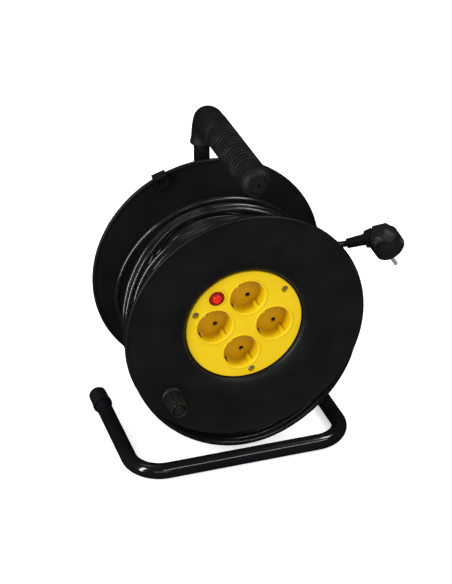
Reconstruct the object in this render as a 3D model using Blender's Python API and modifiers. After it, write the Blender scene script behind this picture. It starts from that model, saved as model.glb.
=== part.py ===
"""Extension cord reel: a bent tube frame carries a moulded drum with four earthed sockets, its cord and plug.

The drum turns about an axis along Y. A place on the drum is given by x, z (or radius and angle, seen from
the front) about that axis and by its depth, which counts backwards from the plane of the front rim.
"""

from math import asin, ceil, cos, pi, radians, sin, tan

import bmesh
import bpy
from mathutils import Matrix, Vector

# Driving dimensions, in metres.
DRUM_RADIUS = 0.1425
DRUM_WIDTH = 0.1543
BARREL_RADIUS = 0.074
BARREL_WALL = 0.003
BARREL_JOINT = 0.0770
AXIS_HEIGHT = 0.189
DRUM_X = 0.0037
FRONT_RIM_Y = -0.0745
GAP = 0.0003

TUBE_RADIUS = 0.0095
TUBE_WALL = 0.0012
LEG_X = 0.1318
LEG_SHIFT = 0.0038
FOOT_FRONT = 0.004
UPRIGHT_DEPTH = 0.172
FOOT_BEND = 0.038
HANDLE_BEND = 0.035
HANDLE_HEIGHT = 0.1960
HANDLE_RISE = 0.0065
HANDLE_LEAN = 0.002
TUBE_FREE_END = -0.030
GRIP_END = -0.042

PANEL_RADIUS = 0.06905
PANEL_FACE = 0.0091
PANEL_BACK = 0.0121
SOCKET_CIRCLE = 0.0354
SOCKET_TURN = radians(-6.1)
WELL_RADIUS = 0.02025
WELL_FLOOR = 0.0281
WELL_BACK = 0.0301
PIN_LINE = radians(-52)
PIN_SPACING = 0.019
EARTH_LINE = PIN_LINE + pi / 2
PANEL_SCREW_CIRCLE = 0.0618
PANEL_SCREW_ANGLES = [radians(38.6 + 120 * i) for i in range(3)]
BUTTON_PLACE = (-0.0333, 0.0410)
BUTTON_RADIUS = 0.0089

AXLE_RADIUS = 0.006
BUSH_RADIUS = 0.0089
JOINT_SCREW_CIRCLE = 0.062
JOINT_SCREW_ANGLES = [radians(45 + 90 * i) for i in range(4)]

KNOB_PLACE = (-0.0905, -0.0715)
CLIP_ANGLE = radians(114.1)
CLIP_TILT = radians(-6)

CORD_RADIUS = 0.0036
SLACK_RADIUS = 0.134
SLACK_CENTRE = (0.0065, -0.0385)
SLACK_BORE_RADIUS = 0.105
SLACK_BORE_CENTRE = (0.002, -0.0153)
SLACK_FRONT = 0.013
SLACK_BACK = 0.139

# The free end of the cord, as x, depth and height over the drum's axis, and the way it runs at each end.
TAIL_START = (0.0682, 0.0755, 0.0850)
TAIL_START_DIRECTION = (0.880, -0.120, -0.448)
TAIL_END = (0.1365, 0.0450, 0.0638)
TAIL_HANDLE = 0.030
CABLE_DIRECTION = (0.721, -0.559, 0.410)
PIN_DIRECTION = (0.544, 0.089, -0.835)

PARTS = "extension_cord_reel"
CUTTERS = "cutters"


def start_scene():
    for obj in list(bpy.data.objects):
        bpy.data.objects.remove(obj, do_unlink=True)
    for name in (PARTS, CUTTERS):
        bpy.context.scene.collection.children.link(bpy.data.collections.new(name))


def material(name, color, roughness, metallic=0.0):
    made = bpy.data.materials.new(name)
    made.use_nodes = True
    shader = made.node_tree.nodes["Principled BSDF"]
    shader.inputs["Base Color"].default_value = (*color, 1.0)
    shader.inputs["Roughness"].default_value = roughness
    shader.inputs["Metallic"].default_value = metallic
    made.diffuse_color = (*color, 1.0)
    return made


def add_part(name, data, color, roughness, metallic=0.0, parent=None):
    obj = bpy.data.objects.new(name, data)
    bpy.data.collections[PARTS].objects.link(obj)
    data.materials.append(material(name, color, roughness, metallic))
    obj.parent = parent
    return obj


def add_cutter(name, data, parent=None):
    obj = bpy.data.objects.new(name, data)
    bpy.data.collections[CUTTERS].objects.link(obj)
    obj.hide_render = True
    obj.display_type = "WIRE"
    obj.parent = parent
    return obj


def add_empty(name, location, rotation=(0, 0, 0), parent=None):
    obj = bpy.data.objects.new(name, None)
    bpy.data.collections[PARTS].objects.link(obj)
    obj.location = location
    obj.rotation_euler = rotation
    obj.parent = parent
    return obj


def boolean(obj, cutter, operation="DIFFERENCE"):
    step = obj.modifiers.new(cutter.name, "BOOLEAN")
    step.object = cutter
    step.operation = operation


def polar(radius, angle, depth=0.0):
    """A place in the drum's frame, whose Z runs forwards."""
    return Vector((radius * cos(angle), radius * sin(angle), -depth))


def world(x, depth, height):
    """A place given over the drum's axis, in world coordinates."""
    return Vector((DRUM_X + x, FRONT_RIM_Y + depth, AXIS_HEIGHT + height))


def turned_mesh(name, profile, closed):
    """An outline of (radius, depth) points that runs front to back down its outer side."""
    mesh = bpy.data.meshes.new(name)
    count = len(profile)
    edges = [(i, i + 1) for i in range(count - 1)]
    if closed:
        edges.append((count - 1, 0))
    mesh.from_pydata([(radius, 0, -depth) for radius, depth in profile], edges, [])
    return mesh


def turn(obj, steps):
    screw = obj.modifiers.new("turn", "SCREW")
    screw.steps = steps
    screw.render_steps = steps
    screw.use_merge_vertices = True
    screw.merge_threshold = 0.00001
    screw.use_smooth_shade = True


def turned(name, profile, steps, color, roughness, metallic=0.0, parent=None, closed=False):
    obj = add_part(name, turned_mesh(name, profile, closed), color, roughness, metallic, parent)
    turn(obj, steps)
    return obj


def turned_cutter(name, profile, steps, parent):
    obj = add_cutter(name, turned_mesh(name, profile, False), parent)
    turn(obj, steps)
    return obj


def rods_mesh(name, places, radius, front, back, segments=12):
    """Plain cylinders along the drum's axis, one at each place, in one mesh."""
    bm = bmesh.new()
    for place in places:
        centre = Vector((place[0], place[1], -(front + back) / 2))
        bmesh.ops.create_cone(
            bm, cap_ends=True, segments=segments, radius1=radius, radius2=radius,
            depth=back - front, matrix=Matrix.Translation(centre),
        )
    return finish(bm, name)


def boxes_mesh(name, boxes):
    """Boxes of (centre, size, turn about the drum's axis), in one mesh."""
    bm = bmesh.new()
    for centre, size, angle in boxes:
        place = Matrix.Translation(centre) @ Matrix.Rotation(angle, 4, "Z")
        bmesh.ops.create_cube(bm, size=1.0, matrix=place @ Matrix.Diagonal((*size, 1.0)))
    return finish(bm, name)


def finish(bm, name):
    mesh = bpy.data.meshes.new(name)
    bm.to_mesh(mesh)
    bm.free()
    mesh.shade_smooth()
    mesh.set_sharp_from_angle(angle=radians(35))
    return mesh


def curve_data(name, points, radius, resolution, caps=True, radii=None):
    curve = bpy.data.curves.new(name, "CURVE")
    curve.dimensions = "3D"
    curve.bevel_depth = radius
    curve.bevel_resolution = resolution
    curve.use_fill_caps = caps
    spline = curve.splines.new("POLY")
    spline.points.add(len(points) - 1)
    for i, point in enumerate(points):
        spline.points[i].co = (*point, 1.0)
        spline.points[i].radius = radii[i] if radii else 1.0
    spline.use_smooth = True
    return curve


def mesh_of_curve(name, curve):
    """The curve's surface as a mesh whose caps are welded on."""
    guide = bpy.data.objects.new(name, curve)
    bpy.data.collections[CUTTERS].objects.link(guide)
    graph = bpy.context.evaluated_depsgraph_get()
    mesh = bpy.data.meshes.new_from_object(guide.evaluated_get(graph))
    bpy.data.objects.remove(guide, do_unlink=True)
    bm = bmesh.new()
    bm.from_mesh(mesh)
    bmesh.ops.remove_doubles(bm, verts=bm.verts, dist=0.00001)
    bmesh.ops.recalc_face_normals(bm, faces=bm.faces)
    bm.to_mesh(mesh)
    bm.free()
    mesh.name = name
    return mesh


def outline_mesh(name, outlines, front, back):
    """Closed outlines in the drum's x and y, the later ones holes in the first, between two depths."""
    curve = bpy.data.curves.new(name, "CURVE")
    curve.dimensions = "2D"
    curve.fill_mode = "BOTH"
    curve.extrude = (back - front) / 2
    for outline in outlines:
        spline = curve.splines.new("POLY")
        spline.points.add(len(outline) - 1)
        for i, (x, y) in enumerate(outline):
            spline.points[i].co = (x, y, 0.0, 1.0)
        spline.use_cyclic_u = True
    mesh = mesh_of_curve(name, curve)
    mesh.transform(Matrix.Translation((0, 0, -(front + back) / 2)))
    return mesh


# Turns an outline of (radius, depth) from flat to standing along the drum's axis.
STAND_UP = Matrix.Rotation(-pi / 2, 4, "X")


def circle(centre, radius, count):
    return [
        (centre[0] + radius * cos(2 * pi * i / count), centre[1] + radius * sin(2 * pi * i / count))
        for i in range(count)
    ]


def rounded_path(corners, bends, straight_step=0.150, turn_step=radians(15)):
    """Points along straight runs joined by arcs, one bend radius for each inner corner."""
    points = [Vector(corners[0])]
    for i, bend in enumerate(bends, start=1):
        before = (corners[i] - corners[i - 1]).normalized()
        after = (corners[i + 1] - corners[i]).normalized()
        angle = before.angle(after)
        reach = bend * tan(angle / 2)
        start = corners[i] - before * reach
        add_straight(points, start, straight_step)
        inward = (after - before * cos(angle)).normalized()
        centre = start + inward * bend
        count = ceil(angle / turn_step)
        for step in range(1, count + 1):
            part = angle * step / count
            points.append(centre + before * bend * sin(part) - inward * bend * cos(part))
    add_straight(points, corners[-1], straight_step)
    return points


def add_straight(points, end, step):
    start = points[-1].copy()
    count = max(1, ceil((end - start).length / step))
    points.extend(start.lerp(end, i / count) for i in range(1, count + 1))


BLACK_PAINT = (0.012, 0.012, 0.014)
BLACK_PLASTIC = (0.028, 0.030, 0.030)
BLACK_RUBBER = (0.035, 0.037, 0.038)
CORD_BLACK = (0.020, 0.021, 0.023)
GREY_PLASTIC = (0.25, 0.26, 0.27)
YELLOW = (0.90, 0.74, 0.04)
RED = (0.72, 0.02, 0.02)
STEEL = (0.60, 0.60, 0.60)
BRASS = (0.78, 0.58, 0.28)


# Frame

CAP_RADIUS = 0.0112
CAP_COLLAR_RADIUS = 0.0120
CAP_FRONT = 0.1545
CAP_BACK = 0.181
CAP_WALL = 0.003
LEG_LENGTH = CAP_BACK - CAP_WALL - 2 * GAP - FOOT_FRONT
LEG_RISE = asin((CAP_COLLAR_RADIUS - TUBE_RADIUS) / LEG_LENGTH)


def left_leg_direction():
    """The free leg lifts a little towards its cap, and leans aside as the other one does."""
    side = -LEG_SHIFT / LEG_LENGTH
    lift = sin(LEG_RISE)
    return Vector((side, (1 - side * side - lift * lift) ** 0.5, lift))


def tube_route():
    """From the free left leg round the floor, up behind the drum and forwards into the handle."""
    floor = TUBE_RADIUS - AXIS_HEIGHT
    return [
        world(-LEG_X, FOOT_FRONT, floor) + left_leg_direction() * LEG_LENGTH,
        world(-LEG_X, FOOT_FRONT, floor),
        world(LEG_X, FOOT_FRONT, floor),
        world(LEG_X - LEG_SHIFT, UPRIGHT_DEPTH, floor),
        world(0, UPRIGHT_DEPTH, floor),
        world(0, UPRIGHT_DEPTH, HANDLE_HEIGHT),
        world(-HANDLE_LEAN, TUBE_FREE_END, HANDLE_HEIGHT + HANDLE_RISE),
    ]


def make_frame_tube(drum_axis):
    path = rounded_path(tube_route(), [FOOT_BEND, FOOT_BEND, FOOT_BEND, FOOT_BEND, HANDLE_BEND])
    curve = curve_data("frame_tube", path, TUBE_RADIUS, 4, caps=False)
    tube = add_part("frame_tube", mesh_of_curve("frame_tube", curve), BLACK_PAINT, 0.22)
    wall = tube.modifiers.new("wall", "SOLIDIFY")
    wall.thickness = TUBE_WALL
    wall.offset = -1
    hole = rods_mesh("axle_hole", [(0, 0)], AXLE_RADIUS + GAP, UPRIGHT_DEPTH - 0.02, UPRIGHT_DEPTH + 0.02)
    boolean(tube, add_cutter("axle_hole", hole, drum_axis))


def make_foot_cap():
    """A rubber cup over the free end of the left leg."""
    corner = world(-LEG_X, FOOT_FRONT, TUBE_RADIUS - AXIS_HEIGHT)
    leg = add_empty("left_leg", corner, (-left_leg_direction()).to_track_quat("Z", "Y").to_euler())
    bore = TUBE_RADIUS + GAP
    front, back = CAP_FRONT - FOOT_FRONT, CAP_BACK - FOOT_FRONT
    profile = [
        (0, back - CAP_WALL),
        (bore, back - CAP_WALL),
        (bore, front),
        (CAP_COLLAR_RADIUS - 0.0008, front),
        (CAP_COLLAR_RADIUS, front + 0.0010),
        (CAP_COLLAR_RADIUS, front + 0.0060),
        (CAP_RADIUS, front + 0.0070),
        (CAP_RADIUS, back - 0.0030),
        (CAP_RADIUS - 0.0010, back - 0.0008),
        (CAP_RADIUS - 0.0030, back),
        (0, back),
    ]
    turned("foot_cap", profile, 24, BLACK_RUBBER, 0.75, parent=leg)


SKIRT_HEIGHT = 0.1550
SKIRT_FLARE = 0.010
SKIRT_RADIUS = 0.0138
BOOT_RADIUS = 0.0122
KNUCKLE_RADIUS = 0.0166
GRIP_RADIUS = 0.0172
VENT_RADIUS = 0.0016


def grip_path():
    """Points along the tube inside the grip, and the grip's radius at each."""
    route = [
        world(0, UPRIGHT_DEPTH, SKIRT_HEIGHT),
        world(0, UPRIGHT_DEPTH, HANDLE_HEIGHT),
        world(-HANDLE_LEAN, TUBE_FREE_END, HANDLE_HEIGHT + HANDLE_RISE),
    ]
    path = rounded_path(route, [HANDLE_BEND], straight_step=0.012)
    bend_end = world(0, UPRIGHT_DEPTH - HANDLE_BEND, 0).y
    radii = []
    for place in path:
        if place.z < AXIS_HEIGHT + SKIRT_HEIGHT + SKIRT_FLARE and place.y > bend_end:
            share = (place.z - AXIS_HEIGHT - SKIRT_HEIGHT) / SKIRT_FLARE
            radii.append(SKIRT_RADIUS + (BOOT_RADIUS - SKIRT_RADIUS) * share)
        elif place.y > bend_end:
            share = (world(0, UPRIGHT_DEPTH, 0).y - place.y) / HANDLE_BEND
            radii.append(BOOT_RADIUS + (KNUCKLE_RADIUS - BOOT_RADIUS) * share)
        else:
            share = min(1.0, (bend_end - place.y) / 0.020)
            radii.append(KNUCKLE_RADIUS + (GRIP_RADIUS - KNUCKLE_RADIUS) * share)
    forwards = (path[-1] - path[-2]).normalized()
    tube_end = path[-1].copy()
    dome = TUBE_FREE_END - GRIP_END
    for angle in (20, 40, 60, 75):
        path.append(tube_end + forwards * dome * sin(radians(angle)))
        radii.append(GRIP_RADIUS * cos(radians(angle)) ** 0.6)
    path.append(tube_end + forwards * dome)
    radii.append(GRIP_RADIUS * 0.35)
    return path, radii


def make_handle_grip():
    path, radii = grip_path()
    curve = curve_data("handle_grip", path, 1.0, 4, radii=radii)
    grip = add_part("handle_grip", mesh_of_curve("handle_grip", curve), BLACK_RUBBER, 0.8)
    below = world(0, UPRIGHT_DEPTH, SKIRT_HEIGHT - 0.020)
    corner = world(0, UPRIGHT_DEPTH, HANDLE_HEIGHT)
    end = world(-HANDLE_LEAN, TUBE_FREE_END, HANDLE_HEIGHT + HANDLE_RISE)
    end += (end - corner).normalized() * GAP
    bore_path = rounded_path([below, corner, end], [HANDLE_BEND])
    bore_radius = (TUBE_RADIUS + GAP) / cos(pi / 12)
    radii = [bore_radius] * len(bore_path) + [VENT_RADIUS, VENT_RADIUS]
    forwards = (end - corner).normalized()
    bore_path += [end + forwards * 0.0005, end + forwards * 0.0200]
    bore = curve_data("grip_bore", bore_path, 1.0, 4, radii=radii)
    boolean(grip, add_cutter("grip_bore", mesh_of_curve("grip_bore", bore)))


# Axle

HUB_FRONT = 0.104
HUB_BACK = 0.1495
BUSH_FLANGE_BACK = 0.1518


def make_axle(drum_axis):
    """A headed bolt through the upright and the drum's hub, with the pieces threaded on it."""
    tube_front = UPRIGHT_DEPTH - TUBE_RADIUS
    tube_back = UPRIGHT_DEPTH + TUBE_RADIUS
    head_front = tube_back + 0.0025
    hexagon = circle((0, 0), 0.0098, 6)
    head = outline_mesh("axle_head", [hexagon], head_front, head_front + 0.0060)
    axle = add_part("axle", rods_mesh("axle", [(0, 0)], AXLE_RADIUS, 0.0960, head_front + 0.001, 24),
                    STEEL, 0.35, 1.0, drum_axis)
    boolean(axle, add_cutter("axle_head", head, drum_axis), "UNION")
    ring("head_washer", AXLE_RADIUS + GAP, 0.0105, tube_back + GAP, head_front - GAP, STEEL, 0.35, 1.0, drum_axis)
    ring("axle_spacer", AXLE_RADIUS + GAP, 0.0095, BUSH_FLANGE_BACK + GAP, tube_front - GAP,
         STEEL, 0.35, 1.0, drum_axis)
    ring("axle_washer", AXLE_RADIUS + GAP, 0.0120, HUB_FRONT - 0.0018, HUB_FRONT - GAP, STEEL, 0.35, 1.0, drum_axis)
    nut_outline = [circle((0, 0), 0.0107, 6), circle((0, 0), AXLE_RADIUS + GAP, 24)]
    nut = outline_mesh("axle_nut", nut_outline, HUB_FRONT - 0.0078, HUB_FRONT - 0.0021)
    add_part("axle_nut", nut, STEEL, 0.35, 1.0, drum_axis)


def ring(name, inner, outer, front, back, color, roughness, metallic, parent, steps=24):
    profile = [(inner, front), (outer, front), (outer, back), (inner, back)]
    return turned(name, profile, steps, color, roughness, metallic, parent, closed=True)


def make_hub_bush(drum_axis):
    bore = AXLE_RADIUS + 0.0001
    profile = [
        (bore, HUB_FRONT + 0.0005),
        (BUSH_RADIUS, HUB_FRONT + 0.0005),
        (BUSH_RADIUS, HUB_BACK + GAP),
        (0.0130, HUB_BACK + GAP),
        (0.0130, BUSH_FLANGE_BACK),
        (bore, BUSH_FLANGE_BACK),
    ]
    turned("hub_bush", profile, 24, (0.85, 0.84, 0.80), 0.5, parent=drum_axis, closed=True)


# Drum shell

BOSS_RADIUS = 0.005
BOSS_FRONT = 0.0169
COVER_FRONT = 0.0430
COVER_BACK = 0.0455
LEDGE_FRONT = PANEL_BACK + 0.0004


def make_front_flange(drum_axis):
    """The front half of the drum: flange, dished step around the panel, and half of the barrel."""
    inner = BARREL_RADIUS - BARREL_WALL
    profile = [
        (0.0705, 0.0085),
        (0.0735, 0.0052),
        (0.0790, 0.0028),
        (0.0880, 0.0012),
        (0.1375, 0.0010),
        (0.1403, 0.0000),
        (0.1418, 0.0005),
        (DRUM_RADIUS, 0.0020),
        (DRUM_RADIUS, 0.0042),
        (0.1408, 0.0058),
        (0.1372, 0.0040),
        (0.0930, 0.0040),
        (0.0790, 0.0070),
        (BARREL_RADIUS, 0.0130),
        (BARREL_RADIUS, BARREL_JOINT),
        (inner, BARREL_JOINT),
        (inner, LEDGE_FRONT + 0.0027),
        (0.0678, LEDGE_FRONT + 0.0027),
        (0.0678, LEDGE_FRONT),
        (0.0705, LEDGE_FRONT),
    ]
    flange = turned("front_flange", profile, 48, BLACK_PLASTIC, 0.45, parent=drum_axis, closed=True)
    bosses = [polar(PANEL_SCREW_CIRCLE, angle) for angle in PANEL_SCREW_ANGLES]
    posts = [polar(JOINT_SCREW_CIRCLE, angle) for angle in JOINT_SCREW_ANGLES]
    boss_back = COVER_FRONT - GAP
    flange_webs = [web(angle, BOSS_FRONT, boss_back) for angle in PANEL_SCREW_ANGLES]
    flange_webs += [web(angle, 0.050, BARREL_JOINT) for angle in JOINT_SCREW_ANGLES]
    join(flange, "panel_bosses", rods_mesh("panel_bosses", bosses, BOSS_RADIUS, BOSS_FRONT, boss_back), drum_axis)
    join(flange, "joint_posts", rods_mesh("joint_posts", posts, BOSS_RADIUS, 0.050, BARREL_JOINT), drum_axis)
    join(flange, "boss_webs", boxes_mesh("boss_webs", flange_webs), drum_axis)
    cut(flange, "boss_bores", rods_mesh("boss_bores", bosses, 0.0021, 0.010, 0.050), drum_axis)
    cut(flange, "post_bores", rods_mesh("post_bores", posts, 0.0023, 0.055, 0.080), drum_axis)
    slot = polar(BARREL_RADIUS, CORD_INLET_ANGLE, CORD_INLET_DEPTH)
    cut(flange, "inlet_slot", boxes_mesh("inlet_slot", [(slot, (0.020, 0.034, 0.009), CORD_INLET_ANGLE)]), drum_axis)


def web(angle, front, back):
    """A rib from a screw boss to the barrel's wall."""
    centre = polar(0.0680, angle, (front + back) / 2)
    return centre, (0.0090, 0.0030, back - front), angle


def join(obj, name, mesh, parent):
    boolean(obj, add_cutter(name, mesh, parent), "UNION")


def cut(obj, name, mesh, parent):
    boolean(obj, add_cutter(name, mesh, parent))


WEB_FRONT = 0.1395
WEB_BACK = 0.1430


def make_rear_flange(drum_axis):
    """The rear half of the drum: barrel, flange, and the recessed wall that carries the hub."""
    inner = BARREL_RADIUS - BARREL_WALL
    back = DRUM_WIDTH
    hub_bore = BUSH_RADIUS + GAP
    joint = BARREL_JOINT + GAP
    profile = [
        (inner, joint),
        (BARREL_RADIUS, joint),
        (BARREL_RADIUS, back - 0.0130),
        (0.0790, back - 0.0070),
        (0.0930, back - 0.0040),
        (0.1372, back - 0.0040),
        (0.1408, back - 0.0058),
        (DRUM_RADIUS, back - 0.0042),
        (DRUM_RADIUS, back - 0.0020),
        (0.1418, back - 0.0005),
        (0.1403, back),
        (0.1375, back - 0.0010),
        (0.0880, back - 0.0012),
        (0.0780, back - 0.0030),
        (0.0725, back - 0.0085),
        (0.0700, WEB_BACK),
        (0.0180, WEB_BACK),
        (0.0155, HUB_BACK),
        (hub_bore, HUB_BACK),
        (hub_bore, HUB_FRONT),
        (0.0150, HUB_FRONT),
        (0.0160, WEB_FRONT),
        (inner, WEB_FRONT),
    ]
    flange = turned("rear_flange", profile, 48, BLACK_PLASTIC, 0.45, parent=drum_axis, closed=True)
    posts = [polar(JOINT_SCREW_CIRCLE, angle) for angle in JOINT_SCREW_ANGLES]
    ribs = [web(angle, joint, WEB_FRONT + 0.001) for angle in JOINT_SCREW_ANGLES]
    join(flange, "rear_posts", rods_mesh("rear_posts", posts, BOSS_RADIUS, joint, WEB_FRONT + 0.001), drum_axis)
    join(flange, "rear_webs", boxes_mesh("rear_webs", ribs), drum_axis)
    join(flange, "rear_ribs", boxes_mesh("rear_ribs", list(hub_ribs())), drum_axis)
    cut(flange, "rear_bores", rods_mesh("rear_bores", posts, 0.0023, 0.070, 0.150), drum_axis)


def hub_ribs():
    """Eight low ribs from the hub to the barrel on the drum's back."""
    for i in range(8):
        angle = radians(22.5 + 45 * i)
        yield polar(0.0440, angle, WEB_BACK + 0.0005), (0.0580, 0.0022, 0.0060), angle


def make_joint_screws(drum_axis):
    for i, angle in enumerate(JOINT_SCREW_ANGLES, start=1):
        make_screw(f"joint_screw_{i}", polar(JOINT_SCREW_CIRCLE, angle, WEB_BACK + GAP), 0.0018, 0.0046, 0.0026,
                   0.0820, drum_axis, facing=-1)


def make_screw(name, place, shank_radius, head_radius, head_height, length, parent, facing=1, cross=True):
    """A cross-headed screw whose head sits at the place; it faces the front, or the back with facing -1."""
    spin = (0, 0, 0) if facing == 1 else (pi, 0, 0)
    seat = add_empty(name + "_seat", place, spin, parent)
    profile = [
        (0, -head_height),
        (head_radius * 0.70, -head_height),
        (head_radius, -head_height * 0.45),
        (head_radius, 0),
        (shank_radius, 0),
        (shank_radius, length - shank_radius),
        (0, length),
    ]
    screw = turned(name, profile, 12, STEEL, 0.35, 1.0, seat)
    if not cross:
        return
    arm = head_radius * 1.1
    depth = -head_height
    slots = [((0, 0, -depth), (arm, head_radius * 0.22, 0.0024), 0.0),
             ((0, 0, -depth), (head_radius * 0.22, arm, 0.0024), 0.0)]
    for i, slot in enumerate(slots):
        cut(screw, f"{name}_slot_{i}", boxes_mesh(f"{name}_slot", [(Vector(slot[0]), slot[1], slot[2])]), seat)


# Socket panel and what is behind it

CORD_INLET_ANGLE = radians(312)
CORD_INLET_DEPTH = 0.018
SCREW_POCKET_RADIUS = 0.0043
POCKET_BACK = 0.0165
LIP_RADIUS = 0.0232


def socket_centres():
    return [polar(SOCKET_CIRCLE, SOCKET_TURN + i * pi / 2) for i in range(4)]


def along(place, angle, distance):
    return place + polar(distance, angle)


def make_socket_panel(drum_axis):
    profile = [
        (0, PANEL_FACE),
        (PANEL_RADIUS - 0.0012, PANEL_FACE),
        (PANEL_RADIUS - 0.0003, PANEL_FACE + 0.0004),
        (PANEL_RADIUS, PANEL_FACE + 0.0012),
        (PANEL_RADIUS, PANEL_BACK),
        (0, PANEL_BACK),
    ]
    panel = turned("socket_panel", profile, 48, YELLOW, 0.35, parent=drum_axis)
    wells = socket_centres()
    screws = [polar(PANEL_SCREW_CIRCLE, angle) for angle in PANEL_SCREW_ANGLES]
    button = [BUTTON_PLACE]
    join(panel, "well_walls", rods_mesh("well_walls", wells, WELL_RADIUS + 0.002, 0.011, WELL_BACK, 24), drum_axis)
    join(panel, "well_lips", rods_mesh("well_lips", wells, LIP_RADIUS, PANEL_FACE - 0.0006, 0.011, 24), drum_axis)
    join(panel, "screw_pockets", rods_mesh("screw_pockets", screws, 0.0054, 0.011, POCKET_BACK), drum_axis)
    join(panel, "button_collar", rods_mesh("button_collar", button, 0.0112, PANEL_FACE - 0.0008, 0.011, 24), drum_axis)
    for i, centre in enumerate(wells, start=1):
        make_well_cutter(panel, i, centre, drum_axis)
    join(panel, "guide_ribs", boxes_mesh("guide_ribs", list(guide_ribs(wells))), drum_axis)
    cut(panel, "earth_slots", boxes_mesh("earth_slots", list(earth_slots(wells))), drum_axis)
    cut(panel, "pin_holes", rods_mesh("pin_holes", pin_places(wells), 0.0030, 0.026, 0.032, 12), drum_axis)
    cut(panel, "pocket_bores", rods_mesh("pocket_bores", screws, SCREW_POCKET_RADIUS, 0.005, 0.0148, 16), drum_axis)
    cut(panel, "screw_holes", rods_mesh("screw_holes", screws, 0.0021, 0.013, 0.018, 12), drum_axis)
    cut(panel, "button_hole", rods_mesh("button_hole", button, BUTTON_RADIUS + 0.0004, 0.005, 0.014, 24), drum_axis)


def make_well_cutter(panel, number, centre, drum_axis):
    """The round space of one socket: a flared mouth, and a straight bore to the floor."""
    seat = add_empty(f"well_{number}", centre, (0, 0, 0), drum_axis)
    profile = [
        (0, PANEL_FACE - 0.002),
        (WELL_RADIUS + 0.0022, PANEL_FACE - 0.002),
        (WELL_RADIUS + 0.0018, PANEL_FACE - 0.0006),
        (WELL_RADIUS + 0.0007, PANEL_FACE + 0.0004),
        (WELL_RADIUS, PANEL_FACE + 0.0020),
        (WELL_RADIUS - 0.0002, WELL_FLOOR),
        (0, WELL_FLOOR),
    ]
    boolean(panel, turned_cutter(f"well_bore_{number}", profile, 24, seat))


def guide_ribs(wells):
    for centre in wells:
        for side in (0, pi):
            place = along(centre, PIN_LINE + side, WELL_RADIUS - 0.0006)
            place.z = -(0.0120 + WELL_FLOOR + 0.0005) / 2
            yield place, (0.0036, 0.0044, WELL_FLOOR + 0.0005 - 0.0120), PIN_LINE


def earth_slots(wells):
    for centre in wells:
        for side in (0, pi):
            place = along(centre, EARTH_LINE + side, 0.02155)
            place.z = -0.0235
            yield place, (0.0033, 0.0064, 0.0210), EARTH_LINE


def pin_places(wells):
    return [along(centre, PIN_LINE + side, PIN_SPACING / 2) for centre in wells for side in (0, pi)]


def make_panel_screws(drum_axis):
    for i, angle in enumerate(PANEL_SCREW_ANGLES, start=1):
        make_screw(f"panel_screw_{i}", polar(PANEL_SCREW_CIRCLE, angle, 0.0145), 0.0016, 0.0036, 0.0022,
                   0.0130, drum_axis)


def make_reset_button(drum_axis):
    """A domed cap on a stem, held behind the panel by its flange."""
    place = Vector((*BUTTON_PLACE, 0))
    seat = add_empty("reset_button_axis", place, (0, 0, 0), drum_axis)
    radius = BUTTON_RADIUS
    profile = [
        (0, 0.0049),
        (0.0036, 0.0051),
        (0.0050, 0.0054),
        (0.0054, 0.0060),
        (0.0058, 0.0055),
        (0.0072, 0.0061),
        (0.0083, 0.0071),
        (radius, 0.0086),
        (radius, 0.0126),
        (0.0104, 0.0126),
        (0.0104, 0.0140),
        (0.0025, 0.0140),
        (0.0025, 0.0200),
        (0, 0.0200),
    ]
    turned("reset_button", profile, 24, RED, 0.15, parent=seat)


def make_thermal_cutout(drum_axis):
    """The cut-out's body with the neck that guides the button."""
    place = Vector((*BUTTON_PLACE, 0))
    seat = add_empty("thermal_cutout_axis", place, (0, 0, 0), drum_axis)
    neck = [(0.0108, PANEL_BACK + GAP), (0.0124, PANEL_BACK + GAP), (0.0124, 0.0180), (0.0108, 0.0180)]
    body = turned("thermal_cutout", neck, 24, GREY_PLASTIC, 0.5, parent=seat, closed=True)
    angle = radians(129)
    block = (Vector((0, 0, -0.0265)), (0.0200, 0.0180, 0.0190), angle)
    join(body, "cutout_block", boxes_mesh("cutout_block", [block]), seat)
    cut(body, "stem_hole", rods_mesh("stem_hole", [(0, 0)], 0.0029, 0.015, 0.0235), seat)
    terminals = [(Vector((side * 0.0045, 0, -0.0385)), (0.0008, 0.0063, 0.0070), angle) for side in (-1, 1)]
    join(body, "cutout_terminals", boxes_mesh("cutout_terminals", terminals), seat)


def make_bus_bars(drum_axis):
    for name, side, depth in (("live_bar", 1, 0.0345), ("neutral_bar", -1, 0.0385)):
        shift = polar(side * PIN_SPACING / 2, PIN_LINE)
        tops = [centre + shift for centre in socket_centres()]
        right, top, left, bottom = tops
        strips = [strip(top, left, depth), strip(right, bottom, depth)]
        strips.append(strip((top + left) / 2, (right + bottom) / 2, depth))
        sleeves = rods_mesh(name, tops, 0.0036, WELL_BACK + 0.0004, depth + 0.0010, 12)
        bar = add_part(name, sleeves, BRASS, 0.3, 1.0, drum_axis)
        for i, piece in enumerate(strips):
            join(bar, f"{name}_strip_{i}", boxes_mesh(f"{name}_strip", [piece]), drum_axis)
        cut(bar, f"{name}_bores", rods_mesh(f"{name}_bores", tops, 0.0026, 0.028, 0.045, 12), drum_axis)


def strip(start, end, depth):
    """A flat strip between two places, at one depth."""
    run = end - start
    centre = (start + end) / 2
    centre.z = -depth
    return centre, (run.length + 0.006, 0.0060, 0.0010), Vector((1, 0)).angle_signed(run.xy) * -1


EARTH_CLIP_OUTLINE = [(0.0176, 0.0140), (0.0170, 0.0165), (0.0180, 0.0190), (0.0206, 0.0225), (0.0206, 0.0309)]


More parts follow.
